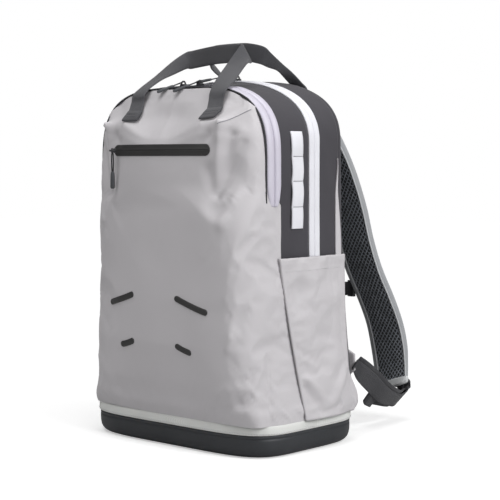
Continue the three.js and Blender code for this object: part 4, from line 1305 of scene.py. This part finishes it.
def prism(name, outline, centre, depth, window=None):
    """A plate standing along Y with its outline in X and Z, with an optional rectangular window."""
    count = len(outline)
    verts = [(centre[0] + x, centre[1] + s * depth / 2, centre[2] + z) for s in (-1, 1) for x, z in outline]
    faces = [tuple(range(count)), tuple(range(2 * count - 1, count - 1, -1))]
    faces += [(k, k + count, (k + 1) % count + count, (k + 1) % count) for k in range(count)]
    obj = outward(mesh_object(name, verts, faces, [M["black_trim"]], rounded=False))
    if window:
        x, z, shift = window
        corners = [(shift - x, -z), (shift + x, -z), (shift + x, z), (shift - x, z)]
        cutter = prism(name + "_cut", corners, centre, depth * 3)
        cut = obj.modifiers.new("cut", "BOOLEAN")
        cut.operation = "DIFFERENCE"
        cut.object = cutter
        bpy.context.view_layer.objects.active = obj
        bpy.context.view_layer.update()
        bpy.ops.object.modifier_apply(modifier="cut")
        bpy.data.objects.remove(cutter)
    return obj


# ---- Trim laid on the front ------------------------------------------------------------------------
def laid_patch(name, line, half, profile):
    """A patch along a line of (x, z) points on the front, `half` wide each side, with a profile of lifts."""
    line = np.array(line)
    top, under = [], []
    for (x, z), (run_x, run_z), wide in zip(line, runs(line), half):
        points = [on_front(x - run_z * v * wide, z + run_x * v * wide) for v, _ in profile]
        rise = 0.35 + 0.65 * min(1.0, wide / 2.4)
        top.append([p + n * lift * rise for (p, n), (_, lift) in zip(points, profile)])
        under.append([p - n * 0.5 for p, n in points])
    return closed_pair(name, np.array(top), np.array(under), M["bar"])


def rounded_ends(half_length, radius, count):
    """Positions along a stadium, and its half width at each."""
    straight = half_length - radius
    end = straight + radius * np.sin(np.linspace(0, math.pi / 2, 9))
    at = np.concatenate([-end[::-1], np.linspace(-straight, straight, count)[1:-1], end])
    inner = np.clip((np.abs(at) - straight) / radius, 0, 1)
    return at, np.maximum(radius * np.sqrt(1 - inner ** 2), 0.12)


def front_pocket_zip():
    low, high = lo("front_pocket_zip_tape"), hi("front_pocket_zip_tape")
    at, half = rounded_ends(high[0], (high[2] - low[2]) / 2, 70)
    lip = [(-1.0, 0.25), (-0.95, 0.7), (-0.8, 0.85), (-0.5, 0.9), (-0.3, 1.0), (-0.16, 1.5), (-0.06, 1.6),
           (-0.02, 0.7)]
    lips = lip + [(-v, lift) for v, lift in reversed(lip)]
    tape = laid_patch("front_pocket_zip_lips", [(x, (low[2] + high[2]) / 2) for x in at], half, lips)
    place(tape, "front_flap", "black_trim", "front_pocket_zip_tape")


def lash_bar(name, start, end):
    """A welded bar with rounded ends, sagging a little."""
    start, end = np.array(start), np.array(end)
    length = np.linalg.norm(end - start)
    at, wide = rounded_ends(length / 2, 4.1, 26)
    line = [(start + end) / 2 + (end - start) / length * a - (0, 1.1 * (1 - (2 * a / length) ** 2))
            for a in at]
    profile = [(-1.0, 0.2), (-0.9, 0.9), (-0.6, 1.25), (0, 1.4), (0.6, 1.25), (0.9, 0.9), (1.0, 0.2)]
    place(laid_patch(f"{name}_weld", line, wide, profile), "bag", "black_trim", name)


def seam_shade_line(side, word):
    """A grey cord along the seam from a pinched corner of the front up to the piping: the seam is real, its
    dark line is painted shade for the seam's crease.
    """
    points = [on_front(side * (107 + 25 * t), 423 + 18 * t, 0.1) for t in np.linspace(0, 1, 30)]
    path, normals = (np.array(v) for v in zip(*points))
    # painted shade: the grey cord stands for the shade in the seam's crease, which the front's grid is too
    # coarse to hold
    seam = sweep(f"front_corner_seam_shade_{word}", path, normals, round_section(0.55, 6), M["grey_thread"])
    place(seam, "front_flap", "light_fabric")


# ---- Zip sliders and pulls -------------------------------------------------------------------------
def slider(node, along, up):
    """A slider: a waisted body and a bridge over it for the pull."""
    along, up = np.array(along, float), np.array(up, float)
    across = np.cross(up, along)
    centre = (lo(node) + hi(node)) / 2
    outline = [(-4.6, 2.1), (-3.6, 3.2), (-1.5, 3.3), (0.5, 2.6), (2.6, 3.0), (4.4, 3.3), (5.2, 2.3)]
    outline += [(a, -b) for a, b in reversed(outline)]
    rings = [[centre + along * a * share + across * b * share + up * height for a, b in outline]
             for height, share in ((-1.7, 0.86), (-1.3, 1.0), (-0.4, 1.0), (0.3, 0.97), (0.9, 0.82))]
    shell = stacked(f"{node}_shell", rings, M["black_trim"])
    arc = [centre - along * 3.6 * math.cos(t) + up * (0.4 + 4.4 * math.sin(t))
           for t in np.linspace(0, math.pi, 15)]
    bridge = sweep("bridge", arc, across, tape_section(2.6, 1.4), M["black_trim"])
    place(joined(f"{node}_shell", [shell, bridge]), node, "black_trim", node)


def zip_pull(node, pivot, tip, side, grip_share):
    """A cord loop from the slider, its ends moulded into a slim grip."""
    run = unit(tip - pivot)
    side = unit(side - run * (side @ run))
    start = pivot + (tip - pivot) * (1 - grip_share)
    half_loop = [start + run * 3 + side * 0.9, start + side * 1.1,
                 pivot + (start - pivot) * 0.45 + side * 1.7, pivot + side * 1.3]
    back = [p - 2 * side * ((p - pivot) @ side) for p in reversed(half_loop)]
    loop = half_loop + [pivot - run * 1.6] + back
    string = sweep("string", spline(loop, 60), np.cross(run, side), round_section(0.85), M["cord"])
    steps = np.array([0, 0.03, 0.1, 0.3, 0.62, 0.9, 0.97, 1.0])
    girth = np.array([0.45, 0.78, 0.92, 1.0, 1.08, 1.12, 0.95, 0.5])
    section = signed_power(round_section(1, 16), 0.6) * (3.0, 1.9)
    grip = sweep("grip", start + (tip - start) * steps[:, None], side, section, M["grip"], girth[:, None])
    place(joined(f"{node}_cord", [grip, string]), node, "black_trim", node)


def far_corner(node, pivot):
    """Of the box round a pull, the corner farthest from its pivot."""
    low, high = lo(node), hi(node)
    return np.where(np.abs(low - pivot) > np.abs(high - pivot), low, high)


def coil(name, y, half_length, width, lift, body):
    """The zip's coil and its dark tapes where the sliders part the covers."""
    line = arch_line(y, SHELL_TOP - 40, 400)
    line = line[np.abs(line[:, 0]) < half_length] + (0, 0, lift)
    share = smooth(half_length, half_length - 22, np.abs(line[:, 0]))
    scale = np.stack([0.25 + 0.75 * share, 0.4 + 0.6 * share], 1)
    piece = sweep(name, line, (0, 1, 0), tape_section(width, 1.2, 1.3), M["zip_tape"], scale)
    place(piece, body, "black_trim")


def pocket_slider():
    turn = math.radians(7.8)
    slider("front_pocket_slider", (math.cos(turn), -math.sin(turn), 0), (-math.sin(turn), -math.cos(turn), 0))
    pivot = PIVOTS["front_pocket_pull_swing"]
    tip = np.array([pivot[0], pivot[1], lo("front_pocket_pull")[2]])
    zip_pull("front_pocket_pull", pivot, tip, np.array([1, 0, 0]), 0.5)


def arch_sliders(zip_name, drop):
    """The two sliders of an arched zip, their pulls hanging down by drop."""
    for _, word in SIDES:
        node = f"{zip_name}_{word}"
        slider(f"{node}_slider", (1, 0, 0), (0, 0, 1))
        pivot = PIVOTS[f"{node}_pull_swing"]
        tip = far_corner(f"{node}_pull", pivot)
        tip[2] = pivot[2] - drop
        zip_pull(f"{node}_pull", pivot, tip, np.array([tip[1] - pivot[1], pivot[0] - tip[0], 0]), 0.62)


# ---- Building --------------------------------------------------------------------------------------
for build in (base_shell, base_edge_tape, front_pieces, front_zip_strip, front_gusset, main_zip, rear_gusset,
              back_panel, front_handle, rear_handle, front_pocket_zip, pocket_slider):
    build()
for side_sign, side_word in SIDES:
    for build in (side_wall, daisy_chain, side_pocket, back_pad, corner_wedge, shoulder_strap, end_webbing,
                  lower_webbing, strap_tail, wing, sternum, buckle, seam_shade_line):
        build(side_sign, side_word)
    dress_cad(f"ladder_lock_{side_word}", M["black_trim"], 0.7)
    lash_bar(f"lash_bar_upper_{side_word}", (side_sign * 40, 201.5), (side_sign * 99, 185.5))
    lash_bar(f"lash_bar_lower_{side_word}", (side_sign * 40, 140), (side_sign * 68, 131.8))
coil("front_zip_coil", FRONT_ZIP_Y, 66, 7.0, 1.2, "main_flap")
coil("main_zip_coil", MAIN_ZIP_Y, 40, 4.4, 1.6, "bag")
arch_sliders("front_zip", 14)
arch_sliders("main_zip", 7.5)
for liner_node in ("frame_sheet", "divider_lower", "divider_upper"):
    dress_cad(liner_node, M["liner"])


# ---- Studio, in metres -----------------------------------------------------------------------------
WORLD_LIGHT = 0.2


def studio():
    world = bpy.data.worlds.new("studio")
    bpy.context.scene.world = world
    world.use_nodes = True
    nodes, links = world.node_tree.nodes, world.node_tree.links
    strength = nodes.new("ShaderNodeMapRange")
    strength.inputs["To Min"].default_value = WORLD_LIGHT
    links.new(nodes.new("ShaderNodeLightPath").outputs["Is Camera Ray"], strength.inputs["Value"])
    links.new(strength.outputs[0], nodes["Background"].inputs["Strength"])
    nodes["Background"].inputs["Color"].default_value = (1, 1, 1, 1)
    reach = 6 * MM
    corners = [(-reach, -reach, 0), (reach, -reach, 0), (reach, reach, 0), (-reach, reach, 0)]
    mesh_object("floor", corners, [(0, 1, 2, 3)], [pale_floor()])
    soft_light("key_light", (2.2, 0.1, 1.5), 1.8, 45)
    soft_light("front_light", (-0.6, -2.6, 1.2), 2.2, 8)
    soft_light("top_light", (0.1, -0.6, 2.6), 2.0, 38)


def pale_floor():
    """White to the camera, and a softer grey to the light that bounces off it."""
    look = Look("pale_floor", 0.9, use_uv=False)
    look.set("Emission Color", (1, 1, 1, 1))
    seen = look.node("LightPath", {}).outputs["Is Camera Ray"]
    distance = look.node("VectorMath", {"operation": "LENGTH"}, look.place).outputs["Value"]
    for name, hidden, near, far in (("Base Color", 0.55, 0.86, 0.0), ("Emission Strength", 0.0, 0.42, 1.0)):
        look.set(name, look.range(seen, 0.0, 1.0, hidden, look.range(distance, 0.22, 0.55, near, far)))
    return look.material


def stand(name, data, position, aim):
    """Puts a lamp or a camera in the scene, looking along aim."""
    obj = bpy.data.objects.new(name, data)
    bpy.context.scene.collection.objects.link(obj)
    obj.location = position
    obj.rotation_euler = aim.to_track_quat("-Z", "Y").to_euler()
    return obj


def soft_light(name, position, size, power):
    data = bpy.data.lights.new(name, "AREA")
    data.shape = "DISK"
    data.size = size
    data.energy = power
    stand(name, data, position, Vector((0, 0, 0.25)) - Vector(position))


def camera():
    """A long lens at three quarters from the front, a little above the middle of the bag."""
    data = bpy.data.cameras.new("camera")
    data.lens = 100.8
    data.sensor_width = 36
    heading, pitch = math.radians(42.06), math.radians(3.65)
    level = math.cos(pitch)
    aim = Vector((-math.sin(heading) * level, math.cos(heading) * level, -math.sin(pitch)))
    bpy.context.scene.camera = stand("camera", data, (1.310, -1.396, 0.377), aim)


bpy.context.scene.view_settings.view_transform = "Standard"
studio()
camera()
